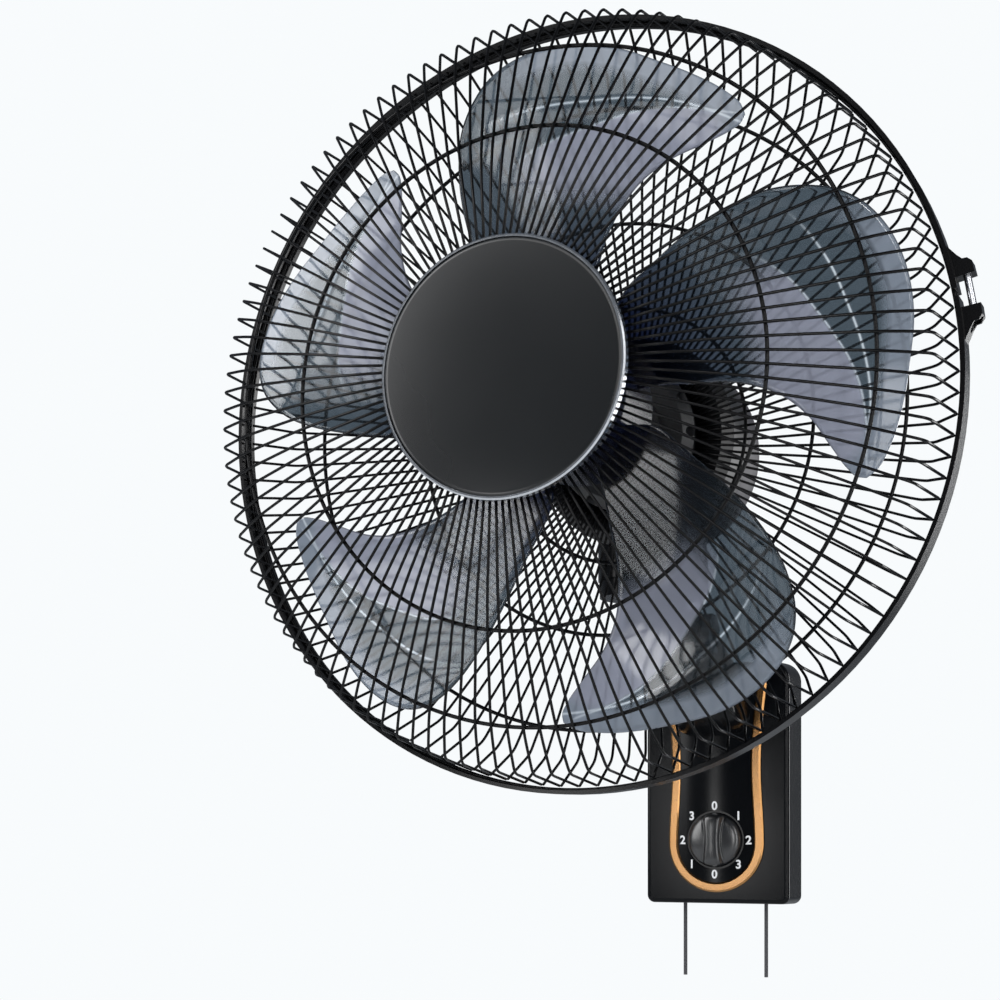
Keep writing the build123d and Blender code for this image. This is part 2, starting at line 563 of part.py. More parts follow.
def motor_rear_cowl():
    """Domed rear cover with a ring of cooling slots in its flat back."""
    dome = rear_cover(0) - rear_cover(MOTOR_WALL)
    slot = Pos(0, 0, -MOTOR_REAR - 1) * extrude(SlotOverall(REAR_FLAT - 20.0, 4.0), 2 * MOTOR_WALL)
    for cut in ring_of(slot, 12, (REAR_FLAT + 12.0) / 2, 15):
        dome -= cut
    return dome


def stator_core():
    """Laminated ring with its bolt holes."""
    back = -STATOR_FRONT - STATOR_LEN
    core = tube(STATOR_R, STATOR_BORE, back, -STATOR_FRONT)
    for hole in ring_of(tube(BOLT_R + SLIP, 0, back - 1, -STATOR_FRONT + 1), 4, BOLT_PCR, 45):
        core -= hole
    return core


def windings():
    """End turns of the coils, one rounded ring at each face of the core."""
    low, high, depth = STATOR_BORE + 2.8, BOLT_PCR - 5.0, 11.0
    ring = turned((low, 0), (high, 0), (high, depth - 3), (high - 3, depth), (low + 3, depth), (low, depth - 3))
    front = Pos(0, 0, -STATOR_FRONT + SLIP) * ring
    back = Pos(0, 0, -STATOR_FRONT - STATOR_LEN - SLIP) * Rot(180, 0, 0) * ring
    return Compound(children=[front, back])


BELL_BACK = STATOR_FRONT + STATOR_LEN + 13.0


def rear_bell():
    """Rear end shield over the core, with the rear bearing boss."""
    skirt = STATOR_R + GAP
    bell = turned(
        (BUSH_R, -BELL_BACK), (skirt, -BELL_BACK), (skirt, -BELL_BACK + 18), (skirt + 2.2, -BELL_BACK + 18),
        (skirt + 2.2, -BELL_BACK - 3), (13.0, -BELL_BACK - 3), (13.0, -BELL_BACK - 12), (BUSH_R, -BELL_BACK - 12))
    for post in ring_of(tube(4.0, 0, -BELL_BACK - 1, -STATOR_FRONT - STATOR_LEN - SLIP), 4, BOLT_PCR - 0.3, 45):
        bell += post
    for hole in ring_of(tube(BOLT_R + SLIP, 0, -BELL_BACK - 9, -STATOR_FRONT), 4, BOLT_PCR, 45):
        bell -= hole
    return bell


def motor_bolts():
    """Four long bolts that hold the end shields to the core."""
    head = -BELL_BACK - 3 - SLIP
    bolt = tube(BOLT_R, 0, head, -MOTOR_FRONT - MOTOR_WALL - 1.5) + tube(3.6, 0, head - 3, head)
    return Compound(children=ring_of(bolt, 4, BOLT_PCR, 45))


def bearings():
    """Sintered sleeve in each end shield."""
    bore = SHAFT_R + RUN
    front = tube(BUSH_R - SLIP, bore, -MOTOR_FRONT - MOTOR_WALL, -MOTOR_FRONT + SPIGOT_LEN - 3)
    back = tube(BUSH_R - SLIP, bore, -BELL_BACK - 12, -BELL_BACK)
    return Compound(children=[front, back])


def motor_shaft():
    """Shaft from the rear bearing to the spinner, cross drilled for the drive pin."""
    shaft = tube(SHAFT_R, 0, -BELL_BACK - 16, HUB_FRONT + 10)
    return shaft - rod(PIN_R + SLIP / 2, (-9, 0, PIN_H), (9, 0, PIN_H))


PIN_R, PIN_H = 1.5, BOSS_BACK + 2.4


def drive_pin():
    """Cross pin that turns the fan."""
    return rod(PIN_R, (-BOSS_R + 1, 0, PIN_H), (BOSS_R - 1, 0, PIN_H))


def rotor_core():
    """Squirrel-cage rotor on the shaft."""
    return tube(STATOR_BORE - AIR_GAP, SHAFT_R + 0.02, -STATOR_FRONT - STATOR_LEN, -STATOR_FRONT)


# ---------------------------------------------------------------- guards

def guard_wires(path, end):
    """One bent wire, repeated round the guard."""
    points = list(path) + [(RIM_R - RIM_WIRE / 2 - GAP - WIRE / 2, end)]
    flat = Plane.XZ * make_face(Polyline(*ribbon(points, WIRE), close=True))
    wire = extrude(flat, WIRE / 2, both=True)
    return Compound(children=[Rot(0, 0, WIRE_TURN + 360 * i / WIRES) * wire for i in range(WIRES)])


def square_ring(radius, height, size):
    """Ring of square wire about Z."""
    half = size / 2
    return turned((radius - half, height - half), (radius + half, height - half),
                  (radius + half, height + half), (radius - half, height + half))


def guard_rings(path, radii, inward, rim_height):
    """Support rings welded inside the wires, and the thick rim in the clamp band."""
    rings = []
    for radius in radii:
        steps = [abs(path_height(path, radius + d) - path_height(path, radius)) for d in (-WIRE, WIRE)]
        slope = max(steps) / WIRE
        rise = WIRE / 2 * hypot(1, slope) + RING_WIRE / 2 * (1 + slope) + SLIP
        rings.append(square_ring(radius, path_height(path, radius) + inward * rise, RING_WIRE))
    rings.append(square_ring(RIM_R, rim_height, RIM_WIRE))
    return Compound(children=rings)


def rear_guard_plate():
    """Pressed centre disc that the rear wires end on."""
    high = REAR_PATH[0][1] - WIRE / 2 - SLIP
    return tube(50.0, SPIGOT_R + GAP, high - 1.2, high)


def ring_nut():
    """Fluted plastic nut that clamps the rear guard on the motor spigot."""
    low = path_height(REAR_PATH, SEAT_R + 2) + 0.6 * WIRE + SLIP
    nut = turned((SPIGOT_R + GAP, low), (SEAT_R + 2, low), (SEAT_R + 2, low + 3), (SEAT_R - 4, low + 8),
                 (SPIGOT_R + GAP, low + 8))
    for cut in ring_of(Pos(0, 0, low + 6.5) * Cylinder(3.0, 7.0), 12, SEAT_R + 0.6):
        nut -= cut
    return nut


def polar(radius, angle, middle=CLASP_ANGLE):
    """Point by its radius and its angle from the clasp's middle."""
    turn = radians(middle + angle)
    return radius * cos(turn), radius * sin(turn)


SCREW_AT, EAR_AT = BAND_R + 5.3, 2.1
CLASP_R, CLASP_HEAD, CLASP_SEAT = 2.0, 3.6, 11.0


def guard_band():
    """Clamp band of channel section, split at the clasp, with an ear each side of the split."""
    half, lip = BAND_W / 2, RIM_WIRE + 0.5
    band = turned((BAND_IN - LIP, half), (BAND_R, half), (BAND_R, -half), (BAND_IN - LIP, -half),
                  (BAND_IN - LIP, -lip), (BAND_IN, -lip), (BAND_IN, lip), (BAND_IN - LIP, lip))
    for side in (-1, 1):
        ear = make_face(Polyline(
            polar(BAND_IN + 0.2, side * EAR_AT), polar(BAND_R + 10, side * EAR_AT),
            polar(BAND_R + 10, side * (EAR_AT + 1.5)), polar(BAND_R + 8, side * (EAR_AT + 2.1)),
            polar(BAND_R + 5.5, side * (EAR_AT + 2.2)), polar(BAND_R + 3.5, side * (EAR_AT + 2.9)),
            polar(BAND_R, side * (EAR_AT + 4.6)), polar(BAND_IN + 0.2, side * (EAR_AT + 4.6)), close=True))
        band += extrude(ear, 5.0, both=True)
    band -= Rot(0, 0, CLASP_ANGLE) * Pos(BAND_R, 0, 0) * Box(3 * BAND_T + 8, 4.0, 2 * BAND_W)
    for radius, near in ((CLASP_R + SLIP, -60), (CLASP_HEAD + GAP, CLASP_SEAT), (CLASP_HEAD + GAP, -60)):
        far = -CLASP_SEAT if near < 0 and radius > CLASP_HEAD else 60
        band -= Rot(0, 0, CLASP_ANGLE) * rod(radius, (SCREW_AT, near, 0), (SCREW_AT, far, 0))
    return band


def clasp_screw():
    """Screw across the clasp, its head sunk in the upper ear."""
    screw = rod(CLASP_R, (SCREW_AT, -CLASP_SEAT - 2.8, 0), (SCREW_AT, CLASP_SEAT + 1, 0))
    screw += rod(CLASP_HEAD, (SCREW_AT, CLASP_SEAT + SLIP, 0), (SCREW_AT, CLASP_SEAT + 2.6, 0))
    return Rot(0, 0, CLASP_ANGLE) * screw


def clasp_nut():
    """Hexagon nut sunk in the lower ear."""
    nut = extrude(RegularPolygon(CLASP_HEAD, 6), 2.6) - Cylinder(CLASP_R + RUN, 20)
    return Rot(0, 0, CLASP_ANGLE) * Pos(SCREW_AT, -CLASP_SEAT - SLIP, 0) * Rot(90, 0, 0) * nut


# ---------------------------------------------------------------- badge

BADGE_LOW = FRONT_PATH[0][1] + WIRE / 2 + 0.15


def badge_cap():
    """Plain domed disc in the middle of the front guard."""
    ball = (BADGE_R ** 2 + BADGE_DOME ** 2) / (2 * BADGE_DOME)
    top = BADGE_LOW + BADGE_T + BADGE_DOME
    cap = tube(BADGE_R, 0, BADGE_LOW, top) & Pos(0, 0, top - ball) * Rot(90, 0, 0) * Sphere(ball)
    for hole in ring_of(tube(1.6, 0, BADGE_LOW - 1, BADGE_LOW + 3), 3, BADGE_SCREW_R, 90):
        cap -= hole
    return cap


BADGE_SCREW_R = 44.0


def badge_rim():
    """Bright ring round the badge's edge."""
    low, high = BADGE_LOW, BADGE_LOW + BADGE_T + 0.6
    inner, outer = BADGE_R + SLIP, BADGE_R + SLIP + BADGE_RIM
    return turned((inner, low), (outer, low), (outer, high - 0.8), (outer - 0.8, high), (inner, high))


def badge_clip():
    """Plate behind the wires that the badge is screwed to."""
    high = FRONT_PATH[0][1] - WIRE / 2 - 0.6
    clip = tube(FRONT_RINGS[0] - WIRE / 2 - GAP - 0.4, 24.0, high - 3.0, high)
    for post in ring_of(tube(5.0, 0, high - 1, BADGE_LOW - SLIP), 3, BADGE_SCREW_R, 90):
        clip += post
    for hole in ring_of(tube(1.6, 0, high - 9, BADGE_LOW + 1), 3, BADGE_SCREW_R, 90):
        clip -= hole
    return clip


def badge_screws():
    """Three screws from behind."""
    seat = FRONT_PATH[0][1] - WIRE / 2 - 3.6 - SLIP
    screw = tube(1.5, 0, seat, BADGE_LOW + 2.6) + tube(3.0, 0, seat - 2, seat)
    return Compound(children=ring_of(screw, 3, BADGE_SCREW_R, 90))


# ---------------------------------------------------------------- fan

LEADING = ((52.0, -11.0), (72.5, -19.1), (89.7, -25.6), (101.7, -32.6), (115.3, -44.1), (124.8, -58.7),
           (131.6, -79.3), (137.5, -96.0), (143.7, -104.5))
TRAILING = ((143.7, -104.5), (150.5, -99.5), (160.4, -89.3), (172.6, -70.9), (183.3, -49.5), (191.1, -31.6),
            (195.3, -13.4), (195.9, 2.0), (192.7, 18.4), (187.3, 29.5), (176.9, 40.2), (163.2, 47.1),
            (147.7, 51.1), (130.0, 51.9), (106.0, 49.6), (79.9, 43.8), (50.0, 35.0))


def blade_outline():
    """Front view of one blade along +X: hooked tip below, broad shoulder above."""
    span = FAN_R / max(hypot(*point) for point in TRAILING)
    leading, trailing = [[(x * span, y * span) for x, y in line] for line in (LEADING, TRAILING)]
    foot, head = (BLADE_ROOT, leading[0][1] + 5.0), (BLADE_ROOT, trailing[-1][1] - 14.0)
    edge = Curve() + [
        Line(foot, leading[0]), Spline(*leading), Spline(*trailing), Line(trailing[-1], head), Line(head, foot)]
    face = make_face(edge)
    tip = face.vertices().sort_by(Axis.Y)[0]
    return fillet(tip, TIP_ROUND)


def blade_section(x):
    """Cambered slice of the blade sheet on the plane at x: height + slope y + camber y^2."""
    along = (x - BLADE_ROOT) / (BLADE_END - BLADE_ROOT)
    height, slope, camber = [a + (b - a) * along for a, b in zip(ROOT_SLICE, END_SLICE)]
    height += BLADE_BULGE * along * (1 - along)
    low, high = TRAILING[0][1] - 10.0, TRAILING[-1][1] + 30.0

    def at(y):
        return height + slope * y + camber * y * y
    lift = at(low) + (slope + 2 * camber * low) * (high - low) / 2
    lower = [(low, at(low)), ((low + high) / 2, lift), (high, at(high))]
    upper = [(y, h + BLADE_T) for y, h in lower]
    profile = Curve() + [Bezier(*lower), Line(lower[2], upper[2]), Bezier(*upper[::-1]), Line(upper[0], lower[0])]
    return Plane(origin=(x, 0, 0), x_dir=(0, 1, 0), z_dir=(1, 0, 0)) * make_face(profile)


def blade():
    """Twisted, cambered sheet trimmed to the outline of one blade."""
    middle = (BLADE_ROOT + BLADE_END) / 2
    sheet = loft([blade_section(x) for x in (BLADE_ROOT, middle, BLADE_END)])
    return sheet & extrude(blade_outline(), 120.0, both=True)


def fan_blade():
    """Hub cup with its blades and its keyed boss."""
    shoulder = HUB_FRONT - 6
    hub = turned(
        (SHAFT_R + RUN, HUB_FRONT), (HUB_R - 7, HUB_FRONT), (HUB_R, shoulder), (HUB_R, HUB_BACK),
        (HUB_R - HUB_WALL, HUB_BACK), (HUB_R - HUB_WALL, shoulder - 1), (HUB_R - 8, HUB_FRONT - HUB_WALL),
        (BOSS_R, HUB_FRONT - HUB_WALL), (BOSS_R, BOSS_BACK), (SHAFT_R + RUN, BOSS_BACK))
    inside = tube(HUB_R - HUB_WALL / 2, 0, -2 * HUB_FRONT, 2 * HUB_FRONT)
    one = blade() - inside
    fan = hub
    for i in range(BLADES):
        fan += Rot(0, 0, BLADE_START + 360 * i / BLADES) * one
    slot = block((-BOSS_R - 1, -PIN_R - SLIP, BOSS_BACK - 1), (BOSS_R + 1, PIN_R + SLIP, PIN_H + PIN_R + SLIP))
    return fan - slot


def spinner():
    """Domed left-hand nut in front of the hub."""
    low = HUB_FRONT + SLIP
    nut = turned((0, low), (SPIN_R, low), (SPIN_R, low + 9), (SPIN_R - 5, low + SPIN_LEN - 1.5),
                 (0, low + SPIN_LEN))
    for cut in ring_of(Pos(0, 0, low + 9) * Cylinder(2.6, 14), 6, SPIN_R + 1.2):
        nut -= cut
    return nut - tube(SHAFT_R + RUN, 0, low - 1, HUB_FRONT + 10.4)


WALL_PIECES = {
    "wall_plate": wall_plate, "foot_screws": foot_screws, "arm_strut": arm_strut,
    "base_housing": base_housing, "gilt_line": gilt_line, "neck_moulding": neck_moulding,
    "arm_screws": arm_screws, "rotary_switch": rotary_switch, "switch_shaft": switch_shaft,
    "speed_knob": speed_knob, "pull_switches": pull_switches, "cord_bushes": cord_bushes,
    "inlet_bush": inlet_bush, "terminal_block": terminal_block, "capacitor": capacitor,
    "speed_slider": lambda: pull_slider(-CORD_X), "swing_slider": lambda: pull_slider(CORD_X),
    "speed_cord": lambda: pull_cord(-CORD_X), "swing_cord": lambda: pull_cord(CORD_X),
    "tilt_pin": tilt_pin, "tilt_knob": tilt_knob, "tilt_head": tilt_head, "pan_post": pan_post,
    "post_clip": post_clip, "swing_fork": swing_fork,
}
HEAD_PIECES = {
    "pan_lid": pan_lid, "pan_housing": pan_housing, "swing_motor": swing_motor, "swing_crank": swing_crank,
    "motor_front_cowl": motor_front_cowl, "motor_rear_cowl": motor_rear_cowl, "stator_core": stator_core,
    "windings": windings, "rear_bell": rear_bell, "motor_bolts": motor_bolts, "bearings": bearings,
    "motor_shaft": motor_shaft, "drive_pin": drive_pin, "rotor_core": rotor_core,
    "rear_guard_wires": lambda: guard_wires(REAR_PATH, -RIM_WIRE / 2 - 0.2),
    "rear_guard_rings": lambda: guard_rings(REAR_PATH, REAR_RINGS, 1, -RIM_WIRE / 2 - 0.2),
    "front_guard_wires": lambda: guard_wires(FRONT_PATH, RIM_WIRE / 2 + 0.2),
    "front_guard_rings": lambda: guard_rings(FRONT_PATH, FRONT_RINGS, -1, RIM_WIRE / 2 + 0.2),
    "rear_guard_plate": rear_guard_plate, "ring_nut": ring_nut, "guard_band": guard_band,
    "clasp_screw": clasp_screw, "clasp_nut": clasp_nut, "badge_cap": badge_cap, "badge_rim": badge_rim,
    "badge_clip": badge_clip, "badge_screws": badge_screws, "fan_blade": fan_blade, "spinner": spinner,
}

os.makedirs("parts", exist_ok=True)
for place, pieces in ((onto_wall, WALL_PIECES), (onto_head, HEAD_PIECES)):
    for name, make in pieces.items():
        solid = place * make()
        solid.label = name
        export_step(solid, f"parts/{name}.step")
        print(f"{name}: {solid.volume / 1000:.2f} cm3")
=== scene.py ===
"""Wall mounted fan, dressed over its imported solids: box, arm, motor, guards, band, badge and blades.
Lengths are in metres. The wall is at y = 0, z points up, and the fan looks towards -y."""
import json
import math

import bmesh
import bpy
import numpy as np
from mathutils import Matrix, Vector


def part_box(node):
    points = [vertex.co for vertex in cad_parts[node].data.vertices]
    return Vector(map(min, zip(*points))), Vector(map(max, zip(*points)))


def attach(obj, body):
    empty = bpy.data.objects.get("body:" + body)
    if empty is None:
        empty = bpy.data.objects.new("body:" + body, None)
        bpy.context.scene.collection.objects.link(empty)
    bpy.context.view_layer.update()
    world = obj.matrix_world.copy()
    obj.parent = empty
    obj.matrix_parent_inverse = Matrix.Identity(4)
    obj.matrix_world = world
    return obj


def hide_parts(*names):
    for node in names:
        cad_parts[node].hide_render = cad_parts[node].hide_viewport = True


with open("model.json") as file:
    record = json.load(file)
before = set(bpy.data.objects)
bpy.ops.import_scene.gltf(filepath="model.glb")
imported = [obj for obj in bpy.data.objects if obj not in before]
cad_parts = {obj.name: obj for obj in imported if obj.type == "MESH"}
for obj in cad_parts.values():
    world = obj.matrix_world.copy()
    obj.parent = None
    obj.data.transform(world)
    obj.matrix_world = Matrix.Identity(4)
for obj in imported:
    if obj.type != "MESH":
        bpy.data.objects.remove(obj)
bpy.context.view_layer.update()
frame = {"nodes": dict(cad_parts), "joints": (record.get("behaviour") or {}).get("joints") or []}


# ---------------------------------------------------------------- studio and camera
# A pale floor far below the fan and an even pale room. Soft lights: a tall wall of light at the left,
# a long one overhead, narrow ones in front, at the dial, at the right and behind. The camera is level,
# a little to the right of the fan and below its head, as the photographer's was, its lens shifted up.
def plain_paint(name, colour, roughness):
    """Even paint with no pattern, for the floor."""
    paint = bpy.data.materials.new(name)
    paint.use_nodes = True
    shader = paint.node_tree.nodes["Principled BSDF"]
    shader.inputs["Base Color"].default_value = (*colour, 1)
    shader.inputs["Roughness"].default_value = roughness
    return paint


def add_mesh(name, points, faces, smooth=True):
    """Mesh object from arrays of points and of faces, at the origin."""
    mesh = bpy.data.meshes.new(name)
    mesh.from_pydata(np.asarray(points, float).tolist(), [], [tuple(map(int, f)) for f in faces])
    mesh.polygons.foreach_set("use_smooth", [smooth] * len(mesh.polygons))
    piece = bpy.data.objects.new(name, mesh)
    bpy.context.scene.collection.objects.link(piece)
    return piece


floor_z, floor_reach = -0.62, 3.0
floor_corners = [(x * floor_reach, y * floor_reach, floor_z) for x, y in ((-1, -1), (1, -1), (1, 1), (-1, 1))]
floor = add_mesh("floor", floor_corners, [(0, 1, 2, 3)], smooth=False)
floor.data.materials.append(plain_paint("floor_paint", (0.80, 0.82, 0.84), 0.9))

# The room looks nearly white, straight on and through the blades, and lights the fan only weakly.
room_seen, room_felt = ((0.94, 0.965, 0.98), 1.0), ((0.80, 0.88, 1.0), 0.14)
room = bpy.data.worlds.new("room")
room.use_nodes = True
nodes, links = room.node_tree.nodes, room.node_tree.links
seen, felt = nodes["Background"], nodes.new("ShaderNodeBackground")
for air, (colour, strength) in ((seen, room_seen), (felt, room_felt)):
    air.inputs["Color"].default_value = (*colour, 1)
    air.inputs["Strength"].default_value = strength
ray, either = nodes.new("ShaderNodeLightPath"), nodes.new("ShaderNodeMath")
mix = nodes.new("ShaderNodeMixShader")
either.operation = "MAXIMUM"
links.new(ray.outputs["Is Camera Ray"], either.inputs[0])
links.new(ray.outputs["Is Transmission Ray"], either.inputs[1])
links.new(either.outputs[0], mix.inputs["Fac"])
links.new(felt.outputs[0], mix.inputs[1])
links.new(seen.outputs[0], mix.inputs[2])
links.new(mix.outputs[0], nodes["World Output"].inputs["Surface"])
bpy.context.scene.world = room
bpy.context.scene.view_settings.view_transform = "Standard"


def soft_light(name, place, target, width, height, power):
    """Rectangular soft white light that faces a point."""
    lamp = bpy.data.lights.new(name, "AREA")
    lamp.shape, lamp.size, lamp.size_y = "RECTANGLE", width, height
    lamp.energy = power
    holder = bpy.data.objects.new(name, lamp)
    place, target = np.array(place, float), np.array(target, float)
    holder.location = place
    away = place - target
    flat = math.hypot(away[0], away[1])
    holder.rotation_euler = (math.atan2(flat, away[2]), 0, math.atan2(away[0], -away[1]))
    bpy.context.scene.collection.objects.link(holder)


head_place = np.array(next(j["pos_m"] for j in frame["joints"] if j["name"] == "spin"))


def around_head(side, rise, distance):
    """Point at an angle to the side of the fan's front, an angle above it and a distance away."""
    side, rise = math.radians(side), math.radians(rise)
    flat = distance * math.cos(rise)
    return head_place + np.array([flat * math.sin(side), -flat * math.cos(side), distance * math.sin(rise)])


soft_light("left_wall", around_head(-57, 20, 2.4), head_place, 1.5, 2.2, 44)
soft_light("overhead", around_head(-14, 42, 2.4), head_place, 3.2, 0.9, 24)
soft_light("front", around_head(16, 18, 2.4), head_place, 0.42, 1.1, 6)
soft_light("dial", (-0.29, -1.0, -0.015), (0, -0.04, -0.08), 0.12, 0.2, 0.5)
soft_light("edge", around_head(38, 4, 2.2), head_place, 0.2, 1.4, 12)
soft_light("strip", (1.7, -0.7, 0.2), (0, -0.1, 0), 0.35, 2.0, 12)
soft_light("behind", (1.1, 1.6, 0.1), (0.05, 0, -0.05), 0.4, 1.2, 10)

photo_px, lens_px, horizon_px = 1000, 1850, 824
camera_place, camera_turn = (0.3760, -1.2705, -0.0285), math.radians(23.56)
camera = bpy.data.cameras.new("camera")
camera.sensor_width = 36
camera.lens = lens_px / photo_px * camera.sensor_width
camera.shift_y = (horizon_px - photo_px / 2) / photo_px
camera.clip_start, camera.clip_end = 0.01, 60
viewer = bpy.data.objects.new("camera", camera)
viewer.location = camera_place
viewer.rotation_euler = (math.pi / 2, 0, camera_turn)
bpy.context.scene.collection.objects.link(viewer)
bpy.context.scene.camera = viewer


# ---------------------------------------------------------------- wall box
# Tall box of injection-moulded black plastic, screwed on the wall plate. Its face and sides come
# out of the mould with a very fine grain and a soft gloss, and its front edges are rounded.
def grained(name, colour, roughness, grain, depth, cloud=0.10, coat=0.0, shine=0.5, metallic=0.0):
    """Moulded or coated finish: fine raised grain, and a slow drift in colour and in gloss. Grain is
    the number of grains over a metre, depth their height, cloud the share that the colour drifts by,
    and shine the strength of the surface's own reflection."""
    finish = bpy.data.materials.new(name)
    finish.use_nodes = True
    nodes, links = finish.node_tree.nodes, finish.node_tree.links
    shader = nodes["Principled BSDF"]
    place = nodes.new("ShaderNodeTexCoord")
    drift, fine = nodes.new("ShaderNodeTexNoise"), nodes.new("ShaderNodeTexNoise")
    drift.inputs["Scale"].default_value = 14
    fine.inputs["Scale"].default_value = grain
    fine.inputs["Detail"].default_value = 3
    tint = nodes.new("ShaderNodeMix")
    tint.data_type = "RGBA"
    tint.inputs["A"].default_value = (*[c * (1 - cloud) for c in colour], 1)
    tint.inputs["B"].default_value = (*[c * (1 + cloud) for c in colour], 1)
    gloss = nodes.new("ShaderNodeMapRange")
    gloss.inputs["To Min"].default_value = roughness * 0.88
    gloss.inputs["To Max"].default_value = roughness * 1.12
    bump = nodes.new("ShaderNodeBump")
    bump.inputs["Strength"].default_value = 0.35
    bump.inputs["Distance"].default_value = depth
    for noise in (drift, fine):
        links.new(place.outputs["Object"], noise.inputs["Vector"])
    links.new(drift.outputs["Fac"], tint.inputs["Factor"])
    links.new(drift.outputs["Fac"], gloss.inputs["Value"])
    links.new(fine.outputs["Fac"], bump.inputs["Height"])
    links.new(tint.outputs["Result"], shader.inputs["Base Color"])
    links.new(gloss.outputs["Result"], shader.inputs["Roughness"])
    links.new(bump.outputs["Normal"], shader.inputs["Normal"])
    shader.inputs["Coat Weight"].default_value = coat
    shader.inputs["Coat Roughness"].default_value = 0.08
    shader.inputs["Specular IOR Level"].default_value = shine
    shader.inputs["Metallic"].default_value = metallic
    return finish


def dress(material, *names):
    """Gives CAD nodes one finish."""
    for name in names:
        mesh = frame["nodes"][name].data
        mesh.materials.clear()
        mesh.materials.append(material)


box_black = grained("box_black", (0.0022, 0.0026, 0.0034), 0.17, 2600, 0.00002, shine=0.15)
dress(box_black, "base_housing")


# ---------------------------------------------------------------- gilt line
# Horseshoe strip of plastic hot-stamped in warm gold. It is pressed into the box front round the
# dial panel, and its two ends run up beside the arm.
gilt = grained("gilt", (0.42, 0.215, 0.075), 0.26, 900, 0.000006, cloud=0.06, coat=0.2, metallic=0.85)
dress(gilt, "gilt_line")


# ---------------------------------------------------------------- arm and dial panel
# One black moulding: a crowned panel round the dial that swells into the arm and its tilt fork.
# The white numbers are pad printed on it, two rounds of speeds about the knob.
panel_black = grained("panel_black", (0.0026, 0.0030, 0.0038), 0.17, 2600, 0.00002, shine=0.15)
dress(panel_black, "neck_moulding", "tilt_head", "pan_housing", "pan_lid")

# Middle of the dial, and the panel's face: how far it stands out and the radius of its crown.
dial_x, dial_z = 0.0, -0.0395
panel_face, panel_round = -0.0366, 0.120
number_ring, number_size, number_bold, print_height = 0.0237, 0.0082, 0.00022, 0.00006
speeds = "0123" * 2


def number_mesh(word, size):
    """Points and faces of one flat printed number, centred on the origin."""
    curve = bpy.data.curves.new("number", "FONT")
    curve.body, curve.size, curve.align_x, curve.align_y = word, size, "CENTER", "CENTER"
    curve.resolution_u, curve.offset = 6, number_bold
    holder = bpy.data.objects.new("number", curve)
    bpy.context.scene.collection.objects.link(holder)
    mesh = bpy.data.meshes.new_from_object(holder)
    points = np.empty(len(mesh.vertices) * 3)
    mesh.vertices.foreach_get("co", points)
    points = points.reshape(-1, 3)
    faces = [tuple(f.vertices) for f in mesh.polygons]
    bpy.data.objects.remove(holder)
    middle = (points.min(axis=0) + points.max(axis=0)) / 2
    return points - middle, faces


white_print = plain_paint("white_print", (0.78, 0.79, 0.80), 0.45)
all_points, all_faces, count = [], [], 0
for step, word in enumerate(speeds):
    flat, faces = number_mesh(word, number_size)
    turn = math.pi / 2 - step * 2 * math.pi / len(speeds)
    x = dial_x + flat[:, 0] + number_ring * math.cos(turn)
    z = dial_z + flat[:, 1] + number_ring * math.sin(turn)
    crown = panel_round - np.sqrt(panel_round ** 2 - x ** 2)
    y = panel_face + crown - print_height
    all_points.append(np.column_stack([x, y, z]))
    all_faces += [tuple(i + count for i in f) for f in faces]
    count += len(flat)
numbers = add_mesh("dial_numbers", np.concatenate(all_points), all_faces, smooth=False)
numbers.data.materials.append(white_print)
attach(numbers, "base")


# ---------------------------------------------------------------- knob
# Turned by thumb and finger: a low round disc of gloss black plastic with a waisted grip across
# it and a scooped half on each side.
knob_black = grained("knob_black", (0.004, 0.0045, 0.0055), 0.30, 3000, 0.000008, coat=0.15, shine=0.9)
knob_low, knob_high = (np.array(c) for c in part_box("speed_knob"))
knob_r = (knob_high[0] - knob_low[0]) / 2
# The bar's half width at its waist and what it gains at the knob's edge; the rest are plain ratios.
bar_half, bar_flare, bar_sharp = 0.0047, 0.0026, 14
groove_at, groove_width, groove_depth = 1.2, 0.13, 0.045
dome_foot, dome_rise, bar_rise, bar_fall = 0.40, 0.26, 0.84, 0.05


def knob_surface(rings=64, spokes=180):
    """Height field on a polar grid, in shares of the knob's height. The two halves are domes whose rise
    falls with the square of the radius. The bar between them is widest at its ends, its half width
    growing with the square of the way up or down from its waist. A bell-shaped groove runs along
    each side of it, and everything falls to the panel in a round edge."""
    share = np.concatenate([np.linspace(0, 0.97, rings - 3), [0.99, 1.0, 1.0]])
    turn = np.linspace(0, 2 * np.pi, spokes, endpoint=False)
    r, a = np.meshgrid(share * knob_r, turn, indexing="ij")
    x, z = r * np.cos(a), r * np.sin(a)
    across = np.abs(x) / (bar_half + bar_flare * (z / knob_r) ** 2)
    bar = 1 / (1 + np.exp((across - 1.0) * bar_sharp))
    groove = np.exp(-((across - groove_at) / groove_width) ** 2)
    edge = np.sqrt(np.clip(1 - (r / knob_r) ** 10, 0, 1))
    reach = knob_high[1] - knob_low[1]
    dome = dome_foot + dome_rise * (1 - (r / knob_r) ** 2)
    crest = bar_rise - bar_fall * across ** 2 - bar_fall * (z / knob_r) ** 2
    rise = reach * edge * (dome + bar * (crest - dome) - groove_depth * groove)
    rise[-1] = 0
    return x, knob_high[1] - rise, z


x, y, z = knob_surface()
x, z = x + (knob_low[0] + knob_high[0]) / 2, z + (knob_low[2] + knob_high[2]) / 2


def grid_faces(rows, columns, closed):
    """Quads between the rows of a grid; a closed grid joins its last column to its first."""
    r, c = np.meshgrid(np.arange(rows - 1), np.arange(columns if closed else columns - 1), indexing="ij")
    r, c = r.ravel(), c.ravel()
    n = (c + 1) % columns
    return np.column_stack([r * columns + c, r * columns + n, (r + 1) * columns + n, (r + 1) * columns + c])


